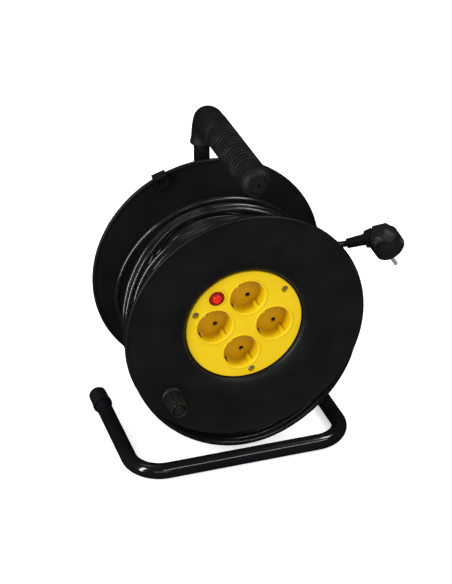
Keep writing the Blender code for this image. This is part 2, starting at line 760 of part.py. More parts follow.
def make_earth_clips(drum_axis):
    """A sprung strip under each socket, whose two arms stand in the slots of its wall."""
    thick = 0.0007
    half = EARTH_CLIP_OUTLINE
    inner = half + [(-x, depth) for x, depth in reversed(half)]
    outer_half = [(x + thick, depth) for x, depth in half[:-1]] + [(half[-1][0] + thick, half[-1][1] + thick)]
    outer = outer_half + [(-x, depth) for x, depth in reversed(outer_half)]
    outline = inner + outer[::-1]
    for i, centre in enumerate(socket_centres(), start=1):
        mesh = outline_mesh(f"earth_clip_{i}", [outline], -0.0024, 0.0024)
        clip = add_part(f"earth_clip_{i}", mesh, BRASS, 0.3, 1.0, drum_axis)
        clip.matrix_local = Matrix.Translation(centre) @ Matrix.Rotation(EARTH_LINE, 4, "Z") @ STAND_UP


def make_inner_cover(drum_axis):
    """The disc that closes the wiring space behind the sockets."""
    cover = ring("inner_cover", 0.0, 0.0704, COVER_FRONT, COVER_BACK, BLACK_PLASTIC, 0.5, 0.0, drum_axis, 48)
    screws = [polar(PANEL_SCREW_CIRCLE, angle) for angle in PANEL_SCREW_ANGLES]
    cut(cover, "cover_holes", rods_mesh("cover_holes", screws, 0.0021, 0.040, 0.048, 12), drum_axis)
    for i, place in enumerate(screws, start=1):
        seat = Vector((place.x, place.y, -(COVER_BACK + GAP)))
        make_screw(f"cover_screw_{i}", seat, 0.0016, 0.0034, 0.0020, 0.0120, drum_axis,
                    facing=-1, cross=False)


# Pieces on the drum

KNOB_BASE = 0.0032
KNOB_LENGTH = 0.0310
KNOB_BASE_RADIUS = 0.0118
KNOB_TIP_RADIUS = 0.0098
KNOB_FLUTES = 10
KNOB_FLUTE_CIRCLE = 0.0118
KNOB_FLUTE_RADIUS = 0.0026
KNOB_PIN_RADIUS = 0.0030


def make_winding_knob(drum_axis):
    """A fluted, slightly tapered knob that turns on a pin fixed in the front flange."""
    seat = add_empty("knob_axis", Vector((*KNOB_PLACE, 0)), (0, 0, 0), drum_axis)
    bore = KNOB_PIN_RADIUS + 0.0002
    tip = -KNOB_BASE - KNOB_LENGTH
    base = -KNOB_BASE
    profile = [
        (bore, tip + 0.0030),
        (0.0070, tip + 0.0030),
        (0.0078, tip),
        (KNOB_TIP_RADIUS - 0.0008, tip),
        (KNOB_TIP_RADIUS, tip + 0.0010),
        (KNOB_BASE_RADIUS - 0.0006, base - 0.0036),
        (KNOB_BASE_RADIUS + 0.0006, base - 0.0024),
        (KNOB_BASE_RADIUS + 0.0006, base),
        (bore, base),
    ]
    knob = turned("winding_knob", profile, 30, BLACK_PLASTIC, 0.4, parent=seat, closed=True)
    flutes = [polar(KNOB_FLUTE_CIRCLE, 2 * pi * i / KNOB_FLUTES) for i in range(KNOB_FLUTES)]
    mesh = rods_mesh("knob_flutes", flutes, KNOB_FLUTE_RADIUS, tip - 0.001, base - 0.0052, 8)
    cut(knob, "knob_flutes", mesh, seat)


def make_knob_pin(drum_axis):
    """A headed pin through the knob, with a collar that stands on the flange."""
    seat = add_empty("knob_pin_seat", Vector((*KNOB_PLACE, 0)), (0, 0, 0), drum_axis)
    tip = -KNOB_BASE - KNOB_LENGTH
    profile = [
        (0, tip + 0.0008),
        (0.0050, tip + 0.0008),
        (0.0058, tip + 0.0014),
        (0.0058, tip + 0.0027),
        (KNOB_PIN_RADIUS, tip + 0.0027),
        (KNOB_PIN_RADIUS, -0.0029),
        (0.0100, -0.0029),
        (0.0110, -0.0020),
        (0.0110, 0.0007),
        (0, 0.0007),
    ]
    turned("knob_pin", profile, 24, BLACK_PLASTIC, 0.4, parent=seat)


CLIP_WIDTH = 0.0165


def make_cord_clip(drum_axis):
    """A ribbed clip that straddles the rear rim, with a pocket for the cord's end."""
    front = DRUM_WIDTH - 0.0058 - GAP
    back = DRUM_WIDTH + GAP
    face = front - 0.0053
    heel = back + 0.0015
    inner = DRUM_RADIUS + 0.0011
    top = 0.1446
    foot = 0.1297
    outline = [(0.1330, back), (inner, back), (inner, front), (foot, front), (foot, face), (top, face)]
    for i in range(3):
        start = face + 0.0016 + 0.0040 * i
        outline += [(top, start), (top + 0.0007, start), (top + 0.0007, start + 0.0020), (top, start + 0.0020)]
    outline += [(top, heel), (0.1330, heel)]
    mesh = outline_mesh("cord_clip", [outline], -CLIP_WIDTH / 2, CLIP_WIDTH / 2)
    mesh.transform(Matrix.Translation((-DRUM_RADIUS, 0, 0)) @ STAND_UP)
    seat = add_empty("cord_clip_seat", polar(DRUM_RADIUS, CLIP_ANGLE), (0, 0, CLIP_ANGLE + CLIP_TILT), drum_axis)
    clip = add_part("cord_clip", mesh, BLACK_PLASTIC, 0.45, parent=seat)
    centre = Vector(((foot + top) / 2 - DRUM_RADIUS, 0, -face - 0.0010))
    pocket = (centre, (0.0088, CLIP_WIDTH - 0.0036, 0.0064), 0.0)
    cut(clip, "clip_pocket", boxes_mesh("clip_pocket", [pocket]), seat)


# Cord and plug

WOUND_RADIUS = 0.0885
WOUND_FRONT = 0.0134
WOUND_BACK = 0.1409
TAIL_STEPS = 12


def make_wound_coil(drum_axis):
    ring("wound_coil", BARREL_RADIUS + GAP, WOUND_RADIUS, WOUND_FRONT, WOUND_BACK,
         CORD_BLACK, 0.35, 0.0, drum_axis, 40)


def make_slack_turns(drum_axis):
    """The loose outer turns: they rest on the wound ones and hang below them."""
    outlines = [circle(SLACK_CENTRE, SLACK_RADIUS, 48), circle(SLACK_BORE_CENTRE, SLACK_BORE_RADIUS, 48)]
    mesh = outline_mesh("slack_turns", outlines, SLACK_FRONT, SLACK_BACK)
    add_part("slack_turns", mesh, CORD_BLACK, 0.35, parent=drum_axis)


def tail_path():
    """A cubic curve from the top of the slack turns into the plug's boot."""
    start = world(*TAIL_START)
    end = world(*TAIL_END)
    first = start + Vector(TAIL_START_DIRECTION).normalized() * TAIL_HANDLE
    second = end - Vector(CABLE_DIRECTION).normalized() * TAIL_HANDLE
    points = []
    for i in range(TAIL_STEPS + 1):
        t = i / TAIL_STEPS
        u = 1 - t
        points.append(start * u ** 3 + first * 3 * u * u * t + second * 3 * u * t * t + end * t ** 3)
    return points


def make_cord_tail():
    add_part("cord_tail", curve_data("cord_tail", tail_path(), CORD_RADIUS, 3), CORD_BLACK, 0.35)


def plug_frame():
    """An empty at the plug's centre: Z leaves by the pins, and X points away from the cord."""
    down = Vector(PIN_DIRECTION).normalized()
    forward = Vector(CABLE_DIRECTION)
    forward = (forward - down * forward.dot(down)).normalized()
    place = Matrix((forward, down.cross(forward), down)).transposed().to_4x4()
    boot_end = world(*TAIL_END) + forward * GAP
    place.translation = boot_end - forward * BOOT_END - down * NECK_LEVEL
    empty = add_empty("plug_frame", (0, 0, 0))
    empty.matrix_world = place
    return empty


PLUG_RADIUS = 0.0184
PLUG_SHOULDER = -0.0193
PLUG_BACK = -0.0324
NECK_START = -0.0205
NECK_LEVEL = -0.0236
BOOT_END = -0.0433
PIN_RADIUS = 0.0024
PIN_LENGTH = 0.0190


def hull_mesh(name, points):
    bm = bmesh.new()
    for point in points:
        bm.verts.new(point)
    bmesh.ops.convex_hull(bm, input=bm.verts)
    bmesh.ops.delete(bm, geom=[vert for vert in bm.verts if not vert.link_faces], context="VERTS")
    return finish(bm, name)


def make_plug():
    """An angled earthed plug: round face, housing that narrows to the cord, two pins, two earth strips."""
    frame = plug_frame()
    round_face = circle((0, 0), PLUG_RADIUS, 32)
    points = [(x, y, -0.0008) for x, y in round_face] + [(x, y, PLUG_SHOULDER) for x, y in round_face]
    points += [(x * 0.96, y * 0.96, 0) for x, y in round_face]
    points += [(x, side * 0.0098, PLUG_BACK) for x in (-0.0089, 0.0087) for side in (-1, 1)]
    body = add_part("plug_body", hull_mesh("plug_body", points), CORD_BLACK, 0.3, parent=frame)
    neck = []
    for x, wide, low, high in ((-0.0110, 0.0090, -0.0152, -0.0312), (NECK_START, 0.0074, -0.0168, -0.0302)):
        neck += [(x, side * wide, z) for side in (-1, 1) for z in (low, high)]
    join(body, "plug_neck", hull_mesh("plug_neck", neck), frame)
    pins = [(0, side * PIN_SPACING / 2) for side in (-1, 1)]
    cut(body, "pin_sockets", rods_mesh("pin_sockets", pins, (PIN_RADIUS + GAP) / cos(pi / 16), -0.0010, 0.0093, 16), frame)
    grooves = [(Vector((side * 0.0186, 0, -0.0060)), (0.0030, 0.0066, 0.0124), 0.0) for side in (-1, 1)]
    cut(body, "earth_grooves", boxes_mesh("earth_grooves", grooves), frame)
    for i, (x, y) in enumerate(pins, start=1):
        make_plug_pin(f"plug_pin_{i}", x, y, frame)
    for i, side in enumerate((-1, 1), start=1):
        strip_box = (Vector((side * 0.01785, 0, -0.0061)), (0.0009, 0.0060, 0.0116), 0.0)
        add_part(f"plug_earth_{i}", boxes_mesh(f"plug_earth_{i}", [strip_box]), STEEL, 0.3, 1.0, frame)
    make_plug_boot(frame)


def make_plug_pin(name, x, y, frame):
    seat = add_empty(name + "_seat", (x, y, 0), (0, 0, 0), frame)
    profile = [
        (0, -PIN_LENGTH),
        (PIN_RADIUS * 0.6, -PIN_LENGTH + 0.0002),
        (PIN_RADIUS, -PIN_LENGTH + 0.0014),
        (PIN_RADIUS, 0.0090),
        (0, 0.0090),
    ]
    turned(name, profile, 16, STEEL, 0.25, 1.0, seat)


def make_plug_boot(frame):
    """A tapered, grooved strain relief around the cord."""
    seat = add_empty("boot_axis", (0, 0, NECK_LEVEL), (0, pi / 2, 0), frame)
    start = NECK_START - GAP
    ribs = 5
    pitch = 0.0030
    profile = [(0, -start), (0.0070, -start), (0.0068, -start + 0.0040)]
    for i in range(ribs):
        depth = -start + 0.0046 + pitch * i
        radius = 0.0066 - 0.00022 * i
        profile += [(radius, depth), (radius, depth + pitch * 0.6), (radius - 0.0012, depth + pitch * 0.6)]
        profile += [(radius - 0.0012, depth + pitch)]
    profile += [(0.0050, -BOOT_END), (0, -BOOT_END)]
    turned("plug_boot", profile, 16, CORD_BLACK, 0.4, parent=seat)


def make_all():
    start_scene()
    drum_axis = add_empty("drum_axis", world(0, 0, 0), (pi / 2, 0, 0))
    bpy.context.view_layer.update()
    make_frame_tube(drum_axis)
    make_foot_cap()
    make_handle_grip()
    make_axle(drum_axis)
    make_hub_bush(drum_axis)
    make_front_flange(drum_axis)
    make_rear_flange(drum_axis)
    make_joint_screws(drum_axis)
    make_socket_panel(drum_axis)
    make_panel_screws(drum_axis)
    make_reset_button(drum_axis)
    make_thermal_cutout(drum_axis)
    make_bus_bars(drum_axis)
    make_earth_clips(drum_axis)
    make_inner_cover(drum_axis)
    make_winding_knob(drum_axis)
    make_knob_pin(drum_axis)
    make_cord_clip(drum_axis)
    make_wound_coil(drum_axis)
    make_slack_turns(drum_axis)
    make_cord_tail()
    make_plug()
    bpy.context.view_layer.update()


make_all()
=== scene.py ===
"""The looks of an extension cord reel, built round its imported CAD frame."""

from math import cos, pi, radians, sin, sqrt

import bmesh
import bpy
from mathutils import Matrix, Vector, noise

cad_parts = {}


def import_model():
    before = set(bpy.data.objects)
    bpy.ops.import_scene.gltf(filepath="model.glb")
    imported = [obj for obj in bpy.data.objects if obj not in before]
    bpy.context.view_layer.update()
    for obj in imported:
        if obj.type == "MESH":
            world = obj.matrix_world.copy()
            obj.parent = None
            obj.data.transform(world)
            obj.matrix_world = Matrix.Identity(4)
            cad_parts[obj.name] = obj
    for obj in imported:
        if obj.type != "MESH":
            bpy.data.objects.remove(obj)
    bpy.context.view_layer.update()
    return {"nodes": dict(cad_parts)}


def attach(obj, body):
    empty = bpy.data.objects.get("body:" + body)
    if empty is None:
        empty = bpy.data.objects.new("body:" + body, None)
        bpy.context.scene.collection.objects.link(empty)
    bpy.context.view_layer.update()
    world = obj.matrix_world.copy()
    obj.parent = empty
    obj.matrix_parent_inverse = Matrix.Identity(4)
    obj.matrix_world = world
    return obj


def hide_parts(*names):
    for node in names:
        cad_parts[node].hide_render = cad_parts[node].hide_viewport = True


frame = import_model()

# The frame's own measures, in metres. Angles are seen from the front. GAP is the clearance between pieces.
DRUM_X = 0.0037
FRONT_RIM_Y = -0.0745
AXIS_HEIGHT = 0.189
DRUM_RADIUS = 0.1425
DRUM_WIDTH = 0.1543
BARREL_RADIUS = 0.074
BARREL_INNER = 0.071
BARREL_JOINT = 0.077
GAP = 0.0003
TUBE_RADIUS = 0.0095
LEG_X = 0.1318
LEG_SHIFT = 0.0038
LEG_RISE = radians(0.82)
LEG_LENGTH = 0.1744
FOOT_FRONT = 0.004
UPRIGHT_DEPTH = 0.172
FOOT_BEND = 0.038
HANDLE_BEND = 0.035
HANDLE_HEIGHT = 0.1960
HANDLE_RISE = 0.0065
HANDLE_LEAN = 0.002
TUBE_FREE_END = -0.030
GRIP_END = -0.042
CORD_RADIUS = 0.0036


def world(x, depth, height):
    """A place in the shared frame, given from the drum's axis and the front rim."""
    return Vector((DRUM_X + x, FRONT_RIM_Y + depth, AXIS_HEIGHT + height))


def polar(radius, angle, depth=0.0):
    """A place in the drum's frame, whose Z runs forwards."""
    return Vector((radius * cos(angle), radius * sin(angle), -depth))


DRUM = Matrix.Translation(world(0, 0, 0)) @ Matrix.Rotation(pi / 2, 4, "X")


# Camera

CAMERA_AZIMUTH = radians(17.71)
CAMERA_ELEVATION = radians(30.82)
CAMERA_DISTANCE = 2.0596
CAMERA_LENS = 108.68
CAMERA_SHIFT = (-0.00061644, 0.0063014)


def add_camera():
    back = Vector((
        -sin(CAMERA_AZIMUTH) * cos(CAMERA_ELEVATION),
        -cos(CAMERA_AZIMUTH) * cos(CAMERA_ELEVATION),
        sin(CAMERA_ELEVATION),
    ))
    data = bpy.data.cameras.new("camera")
    data.lens = CAMERA_LENS
    data.shift_x, data.shift_y = CAMERA_SHIFT
    camera = bpy.data.objects.new("camera", data)
    bpy.context.scene.collection.objects.link(camera)
    camera.location = world(0, DRUM_WIDTH / 2, 0) + back * CAMERA_DISTANCE
    camera.rotation_euler = back.to_track_quat("Z", "Y").to_euler()
    bpy.context.scene.camera = camera


# Materials

COAT_ROUGHNESS = 0.06
SHADE_EDGES = (0.35, 0.68)
SMEARS_PER_BLOTCH = 2.7


def link(tree, source, output, target, socket):
    tree.links.new(source.outputs[output], target.inputs[socket])


def add_node(tree, kind, **values):
    made = tree.nodes.new(kind)
    for name, value in values.items():
        made.inputs[name.replace("_", " ")].default_value = value
    return made


def material(name, dark, light, roughness, spread, grain, depth,
             blotch=30.0, metallic=0.0, coat=0.0, specular=0.5):
    """Two shades mixed by a soft noise, uneven gloss, and a fine grain that stands up by depth metres."""
    made = bpy.data.materials.new(name)
    made.use_nodes = True
    tree = made.node_tree
    shader = tree.nodes["Principled BSDF"]
    shader.inputs["Metallic"].default_value = metallic
    shader.inputs["Coat Weight"].default_value = coat
    shader.inputs["Coat Roughness"].default_value = COAT_ROUGHNESS
    shader.inputs["Specular IOR Level"].default_value = specular
    place = add_node(tree, "ShaderNodeTexCoord")
    soft = add_node(tree, "ShaderNodeTexNoise", Scale=blotch, Detail=4.0, Roughness=0.6)
    link(tree, place, "Object", soft, "Vector")
    shades = tree.nodes.new("ShaderNodeValToRGB")
    for element, edge, shade in zip(shades.color_ramp.elements, SHADE_EDGES, (dark, light)):
        element.position = edge
        element.color = (*shade, 1)
    link(tree, soft, "Fac", shades, "Fac")
    link(tree, shades, "Color", shader, "Base Color")
    smears = add_node(tree, "ShaderNodeTexNoise", Scale=blotch * SMEARS_PER_BLOTCH, Detail=3.0)
    link(tree, place, "Object", smears, "Vector")
    gloss = add_node(tree, "ShaderNodeMapRange", To_Min=roughness - spread, To_Max=roughness + spread)
    link(tree, smears, "Fac", gloss, "Value")
    link(tree, gloss, "Result", shader, "Roughness")
    fine = add_node(tree, "ShaderNodeTexNoise", Scale=grain, Detail=2.0)
    link(tree, place, "Object", fine, "Vector")
    bump = add_node(tree, "ShaderNodeBump", Strength=1.0, Distance=depth)
    link(tree, fine, "Fac", bump, "Height")
    link(tree, bump, "Normal", shader, "Normal")
    return made


SHELL = material("satin_drum", (0.0048, 0.0052, 0.0055), (0.0072, 0.0076, 0.0082),
                 roughness=0.42, spread=0.05, grain=1500, depth=0.00004, specular=0.24)
PAINT = material("gloss_paint", (0.0045, 0.0045, 0.0055), (0.0065, 0.0065, 0.0080),
                 roughness=0.14, spread=0.03, grain=300, depth=0.00001, coat=0.5)
RUBBER = material("grip_rubber", (0.0035, 0.0035, 0.0034), (0.0070, 0.0070, 0.0068),
                  roughness=0.58, spread=0.08, grain=2200, depth=0.00010, blotch=220.0, specular=0.32)
CAP_RUBBER = material("cap_rubber", (0.0045, 0.0045, 0.0045), (0.0080, 0.0080, 0.0080),
                      roughness=0.62, spread=0.08, grain=1800, depth=0.00008, blotch=120.0, specular=0.2)
KNOB_BLACK = material("knob_black", (0.0065, 0.0068, 0.0070), (0.0100, 0.0105, 0.0105),
                      roughness=0.46, spread=0.05, grain=1300, depth=0.00004, specular=0.32)
CORD_BLACK = material("cord_pvc", (0.0055, 0.0060, 0.0068), (0.0085, 0.0090, 0.0102),
                      roughness=0.19, spread=0.04, grain=900, depth=0.00003, blotch=90.0, specular=0.8)
PLUG_BLACK = material("plug_black", (0.0060, 0.0064, 0.0074), (0.0095, 0.0100, 0.0115),
                      roughness=0.44, spread=0.06, grain=1400, depth=0.00005, specular=0.30)
YELLOW = material("yellow_moulding", (0.64, 0.430, 0.003), (0.69, 0.470, 0.006),
                  roughness=0.36, spread=0.06, grain=700, depth=0.00003, blotch=16.0, specular=0.14)
RED = material("red_button", (0.54, 0.010, 0.004), (0.70, 0.020, 0.008),
               roughness=0.22, spread=0.05, grain=300, depth=0.00003,
               blotch=160.0, coat=0.3, specular=0.3)
GREY = material("cutout_grey", (0.20, 0.20, 0.20), (0.27, 0.27, 0.27),
                roughness=0.50, spread=0.08, grain=900, depth=0.00004)
NYLON = material("bush_nylon", (0.68, 0.66, 0.60), (0.78, 0.76, 0.70),
                 roughness=0.48, spread=0.08, grain=900, depth=0.00004)
BRASS = material("brass", (0.55, 0.30, 0.07), (0.70, 0.42, 0.12),
                 roughness=0.36, spread=0.08, grain=600, depth=0.00002, metallic=0.35)
# The bars' brass is painted far darker as painted shade, standing for the shadow seen inside the pin holes.
SHADE_PAINTED_BRASS = material("brass_painted_shade", (0.06, 0.035, 0.012), (0.11, 0.065, 0.022),
                      roughness=0.50, spread=0.08, grain=600, depth=0.00002, metallic=0.35)
STEEL = material("zinc_steel", (0.42, 0.42, 0.40), (0.62, 0.62, 0.60),
                 roughness=0.34, spread=0.09, grain=1100, depth=0.00004, blotch=180.0, metallic=0.75)
NICKEL = material("nickel_pin", (0.40, 0.39, 0.37), (0.60, 0.59, 0.56),
                  roughness=0.24, spread=0.06, grain=900, depth=0.00002, metallic=0.5)
EARTH_STRIP = material("earth_strip", (0.050, 0.050, 0.048), (0.090, 0.090, 0.086),
                       roughness=0.40, spread=0.06, grain=900, depth=0.00002, metallic=0.5)

# Painted shade: colours multiplied into the yellow towards the wells' floors, and into the red towards the
# button's sunk ring.
WELL_PAINTED_SHADE = (0.86, 0.68, 0.30)
BUTTON_PAINTED_SHADE = (0.34, 0.25, 0.25)

# CAD nodes that stay as they are, each with its finish
KEPT = {
    "axle": STEEL, "axle_nut": STEEL, "axle_spacer": STEEL, "axle_washer": STEEL, "head_washer": STEEL,
    "cover_screw_1": STEEL, "cover_screw_2": STEEL, "cover_screw_3": STEEL,
    "hub_bush": NYLON, "knob_pin": KNOB_BLACK, "inner_cover": SHELL, "thermal_cutout": GREY,
    # The bars take brass darkened by painted shade.
    "live_bar": SHADE_PAINTED_BRASS, "neutral_bar": SHADE_PAINTED_BRASS,
    "earth_clip_1": BRASS, "earth_clip_2": BRASS, "earth_clip_3": BRASS, "earth_clip_4": BRASS,
    "plug_earth_1": EARTH_STRIP, "plug_earth_2": EARTH_STRIP,
}


def paint_depth_shade(finish, shallow, deep, shade_colour):
    """Paints shade into a finish: its colour is multiplied by the shade colour more and more from one depth
    to the other, darker towards the bottom of its recesses.
    """
    tree = finish.node_tree
    shader = tree.nodes["Principled BSDF"]
    colour = shader.inputs["Base Color"].links[0].from_socket
    place = add_node(tree, "ShaderNodeTexCoord")
    split = add_node(tree, "ShaderNodeSeparateXYZ")
    link(tree, place, "Object", split, "Vector")
    share = add_node(tree, "ShaderNodeMapRange", From_Min=shallow, From_Max=deep)
    link(tree, split, "Y", share, "Value")
    mix = tree.nodes.new("ShaderNodeMix")
    mix.data_type = "RGBA"
    mix.blend_type = "MULTIPLY"
    colours = [socket for socket in mix.inputs if socket.type == "RGBA"]
    colours[1].default_value = (*shade_colour, 1)
    mixed = next(socket for socket in mix.outputs if socket.type == "RGBA")
    tree.links.new(colour, colours[0])
    tree.links.new(share.outputs["Result"], mix.inputs["Factor"])
    tree.links.new(mixed, shader.inputs["Base Color"])


def paint_kept_nodes():
    """Gives each kept CAD node its finish, on the object and not on its mesh."""
    for name, finish in KEPT.items():
        node = frame["nodes"][name]
        for slot in node.material_slots:
            slot.link = "OBJECT"
            slot.material = finish


# Shapes. Each maker returns a bmesh.

def turned(profile, steps, closed=False):
    """An outline of (radius, depth) points, turned round the drum's Z."""
    bm = bmesh.new()
    rings = []
    for radius, depth in profile:
        if radius < 1e-6:
            rings.append([bm.verts.new((0, 0, -depth))] * steps)
        else:
            rings.append([bm.verts.new(polar(radius, 2 * pi * i / steps, depth)) for i in range(steps)])
    pairs = list(zip(rings, rings[1:]))
    if closed:
        pairs.append((rings[-1], rings[0]))
    for one, two in pairs:
        for i in range(steps):
            j = (i + 1) % steps
            corners = list(dict.fromkeys((one[i], one[j], two[j], two[i])))
            if len(corners) > 2:
                bm.faces.new(corners)
    bmesh.ops.recalc_face_normals(bm, faces=bm.faces)
    return bm


def softened(outline, amount, closed=False, steps=3):
    """The outline with a short curve at each corner."""
    result = []
    count = len(outline)
    for i, point in enumerate(outline):
        if not closed and i in (0, count - 1):
            result.append(point)
            continue
        corner = Vector(point)
        before = Vector(outline[i - 1]) - corner
        after = Vector(outline[(i + 1) % count]) - corner
        start = corner + before.normalized() * min(amount, before.length * 0.45)
        end = corner + after.normalized() * min(amount, after.length * 0.45)
        for k in range(steps + 1):
            t = k / steps
            result.append(tuple(start * (1 - t) ** 2 + corner * 2 * t * (1 - t) + end * t * t))
    return result


def moved(bm, matrix):
    """The bmesh itself, put through the matrix."""
    bmesh.ops.transform(bm, matrix=matrix, verts=bm.verts)
    return bm


def rods(places, radius, front, back, steps=24):
    """Rods along the drum's Z, from one depth to the other, in one bmesh."""
    bm = bmesh.new()
    for place in places:
        seat = Matrix.Translation((place[0], place[1], -(front + back) / 2))
        bmesh.ops.create_cone(bm, cap_ends=True, segments=steps, radius1=radius, radius2=radius,
                              depth=back - front, matrix=seat)
    return bm


def boxes(items):
    """Boxes of (centre, size, turn about Z) in one bmesh."""
    bm = bmesh.new()
    for centre, size, angle in items:
        matrix = Matrix.Translation(centre) @ Matrix.Rotation(angle, 4, "Z") @ Matrix.Diagonal((*size, 1))
        bmesh.ops.create_cube(bm, size=1, matrix=matrix)
    return bm


def hull(points):
    """The convex solid round the points."""
    bm = bmesh.new()
    for point in points:
        bm.verts.new(point)
    bmesh.ops.convex_hull(bm, input=bm.verts)
    bmesh.ops.delete(bm, geom=[vert for vert in bm.verts if not vert.link_faces], context="VERTS")
    return bm


def circle(radius, count):
    turns = [2 * pi * i / count for i in range(count)]
    return [(radius * cos(t), radius * sin(t)) for t in turns]


def scratch_object(bm):
    mesh = bpy.data.meshes.new("scratch")
    bm.to_mesh(mesh)
    bm.free()
    made = bpy.data.objects.new("scratch", mesh)
    bpy.context.scene.collection.objects.link(made)
    return made


def worked(bm, steps=(), bevel=0.0, bevel_angle=35):
    """The bmesh after each (operation, bmesh) Boolean, and then a bevel of its sharp edges."""
    base = scratch_object(bm)
    cutters = []
    for operation, tool in steps:
        cutters.append(scratch_object(tool))
        step = base.modifiers.new("step", "BOOLEAN")
        step.operation = operation
        step.object = cutters[-1]
    if bevel:
        edge = base.modifiers.new("edge", "BEVEL")
        edge.width = bevel
        edge.segments = 2
        edge.limit_method = "ANGLE"
        edge.angle_limit = radians(bevel_angle)
    graph = bpy.context.evaluated_depsgraph_get()
    mesh = bpy.data.meshes.new_from_object(base.evaluated_get(graph))
    result = bmesh.new()
    result.from_mesh(mesh)
    bpy.data.meshes.remove(mesh)
    for scrap in [base, *cutters]:
        bpy.data.objects.remove(scrap, do_unlink=True)
    return result


def swept(path, radii, sides, shape=None):
    """A closed tube along the path. shape(i, turn) gives what is added to ring i's radius at that turn."""
    bm = bmesh.new()
    forward = (path[1] - path[0]).normalized()
    side = forward.orthogonal().normalized()
    rings = []
    for i, place in enumerate(path):
        ahead = (path[min(i + 1, len(path) - 1)] - path[max(i - 1, 0)]).normalized()
        side = forward.rotation_difference(ahead) @ side
        forward = ahead
        up = forward.cross(side)
        ring = []
        for k in range(sides):
            turn = 2 * pi * k / sides
            out = side * cos(turn) + up * sin(turn)
            radius = radii[i] + (shape(i, out) if shape else 0)
            ring.append(bm.verts.new(place + out * radius))
        rings.append(ring)
    for one, two in zip(rings, rings[1:]):
        for k in range(sides):
            j = (k + 1) % sides
            bm.faces.new((one[k], one[j], two[j], two[k]))
    bm.faces.new(rings[0][::-1])
    bm.faces.new(rings[-1])
    return bm


def rounded_path(corners, bends, step=0.004, turn_step=radians(4)):
    """Points along straight runs joined by arcs; bends gives each inner corner's radius."""
    points = [corners[0].copy()]
    for i, bend in enumerate(bends, start=1):
        before, corner, after = corners[i - 1], corners[i], corners[i + 1]
        into, out = (before - corner).normalized(), (after - corner).normalized()
        half = into.angle(out) / 2
        reach = bend / (sin(half) / cos(half))
        centre = corner + (into + out).normalized() * (bend / sin(half))
        start, end = corner + into * reach, corner + out * reach
        add_run(points, start, step)
        arm = start - centre
        total = arm.angle(end - centre)
        axle = arm.cross(end - centre).normalized()
        count = max(2, round(total / turn_step))
        for k in range(1, count + 1):
            points.append(centre + Matrix.Rotation(total * k / count, 3, axle) @ arm)
    add_run(points, corners[-1], step)
    return points


def add_run(points, end, step):
    start = points[-1].copy()
    count = max(1, round((end - start).length / step))
    points += [start.lerp(end, k / count) for k in range(1, count + 1)]


def add_piece(name, bm, finish, body, nodes, matrix=DRUM, sharp=32):
    """The bmesh as a piece that rides on the body and stands for the CAD nodes."""
    bm.transform(matrix)
    mesh = bpy.data.meshes.new(name)
    bm.to_mesh(mesh)
    bm.free()
    mesh.shade_smooth()
    mesh.set_sharp_from_angle(angle=radians(sharp))
    piece = bpy.data.objects.new(name, mesh)
    bpy.context.scene.collection.objects.link(piece)
    return as_piece(piece, finish, body, nodes)


def as_piece(piece, finish, body, nodes):
    piece.data.materials.append(finish)
    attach(piece, body)
    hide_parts(*nodes)
    return piece


# The cord: what is wound on the barrel, and the loose outer turns that end in the plug

LAYER_RADII = (0.0780, 0.0842)
WOUND_FRONT = 0.0175
WOUND_BACK = 0.1373
WOUND_PITCH = 0.00722
WOUND_STEPS = 48
CLIMB_TURNS = 0.25
HOLD_TURNS = 0.35
INLET_ANGLE = radians(312)
INLET_RADIUS = 0.0640
INLET_TURN = radians(22)
LOOP_STEPS = 72
# The loose turns' centre sits to the right of the drum's axis, and their lower half is squashed by LOOP_FLAT.
LOOP_X = 0.0066
LOOP_FLAT = 0.0030
# Loose turns as (turns so far, depth, radius, top); each starts over the drum's top and runs to the right.
LOOP_KNOTS = [
    (0.0, 0.0175, 0.1322, 0.0919), (1.0, 0.0251, 0.1312, 0.0919), (2.0, 0.0327, 0.1320, 0.0919),
    (3.0, 0.0402, 0.1300, 0.0919), (4.0, 0.0476, 0.1296, 0.0919), (5.0, 0.0550, 0.1274, 0.0919),
    (5.5, 0.0600, 0.1240, 0.0919), (5.66, 0.0650, 0.1225, 0.0919), (5.79, 0.0745, 0.1240, 0.0930),
    (5.85, 0.0830, 0.1262, 0.0945), (5.92, 0.0862, 0.1262, 0.0945), (6.0, 0.0895, 0.1235, 0.0935),
    (6.15, 0.0960, 0.1160, 0.0919), (6.5, 0.1180, 0.1110, 0.0919), (6.68, 0.1320, 0.1150, 0.0925),
    (6.79, 0.1368, 0.1255, 0.0945), (7.0, 0.1372, 0.1270, 0.0950), (7.14, 0.1372, 0.1268, 0.0950),
    (7.5, 0.1200, 0.1265, 0.0945), (7.75, 0.0920, 0.1270, 0.0945), (7.83, 0.1060, 0.1270, 0.0945),
    (7.92, 0.1225, 0.1265, 0.0945), (8.0, 0.1215, 0.1265, 0.0945), (8.5, 0.1050, 0.1265, 0.0945),
    (8.75, 0.0835, 0.1265, 0.0945), (8.84, 0.0965, 0.1265, 0.0945), (8.92, 0.1145, 0.1262, 0.0945),
    (9.0, 0.1135, 0.1262, 0.0940), (9.2, 0.1000, 0.1265, 0.0945), (9.5, 0.0790, 0.1290, 0.0945),
    (9.65, 0.0670, 0.1300, 0.0945), (9.79, 0.0612, 0.1285, 0.0945), (9.84, 0.0680, 0.1270, 0.0945),
    (9.90, 0.0760, 0.1265, 0.0945), (10.0, 0.0790, 0.1265, 0.0945),
]
LOOSE_END = 9.90
START_BLEND = radians(60)
LIFT_HANDLES = (0.046, 0.044)
TAIL_START = (0.0682, 0.0755, 0.0850)
TAIL_START_DIRECTION = (0.880, -0.120, -0.448)
TAIL_END = (0.1365, 0.0450, 0.0638)
TAIL_HANDLES = (0.030, 0.030)
TAIL_STEPS = 14
CABLE_DIRECTION = (0.721, -0.559, 0.410)
PIN_DIRECTION = (0.544, 0.089, -0.835)


def smooth(share):
    """0 to 1 with a level start and end."""
    share = min(1.0, max(0.0, share))
    return share * share * (3 - 2 * share)


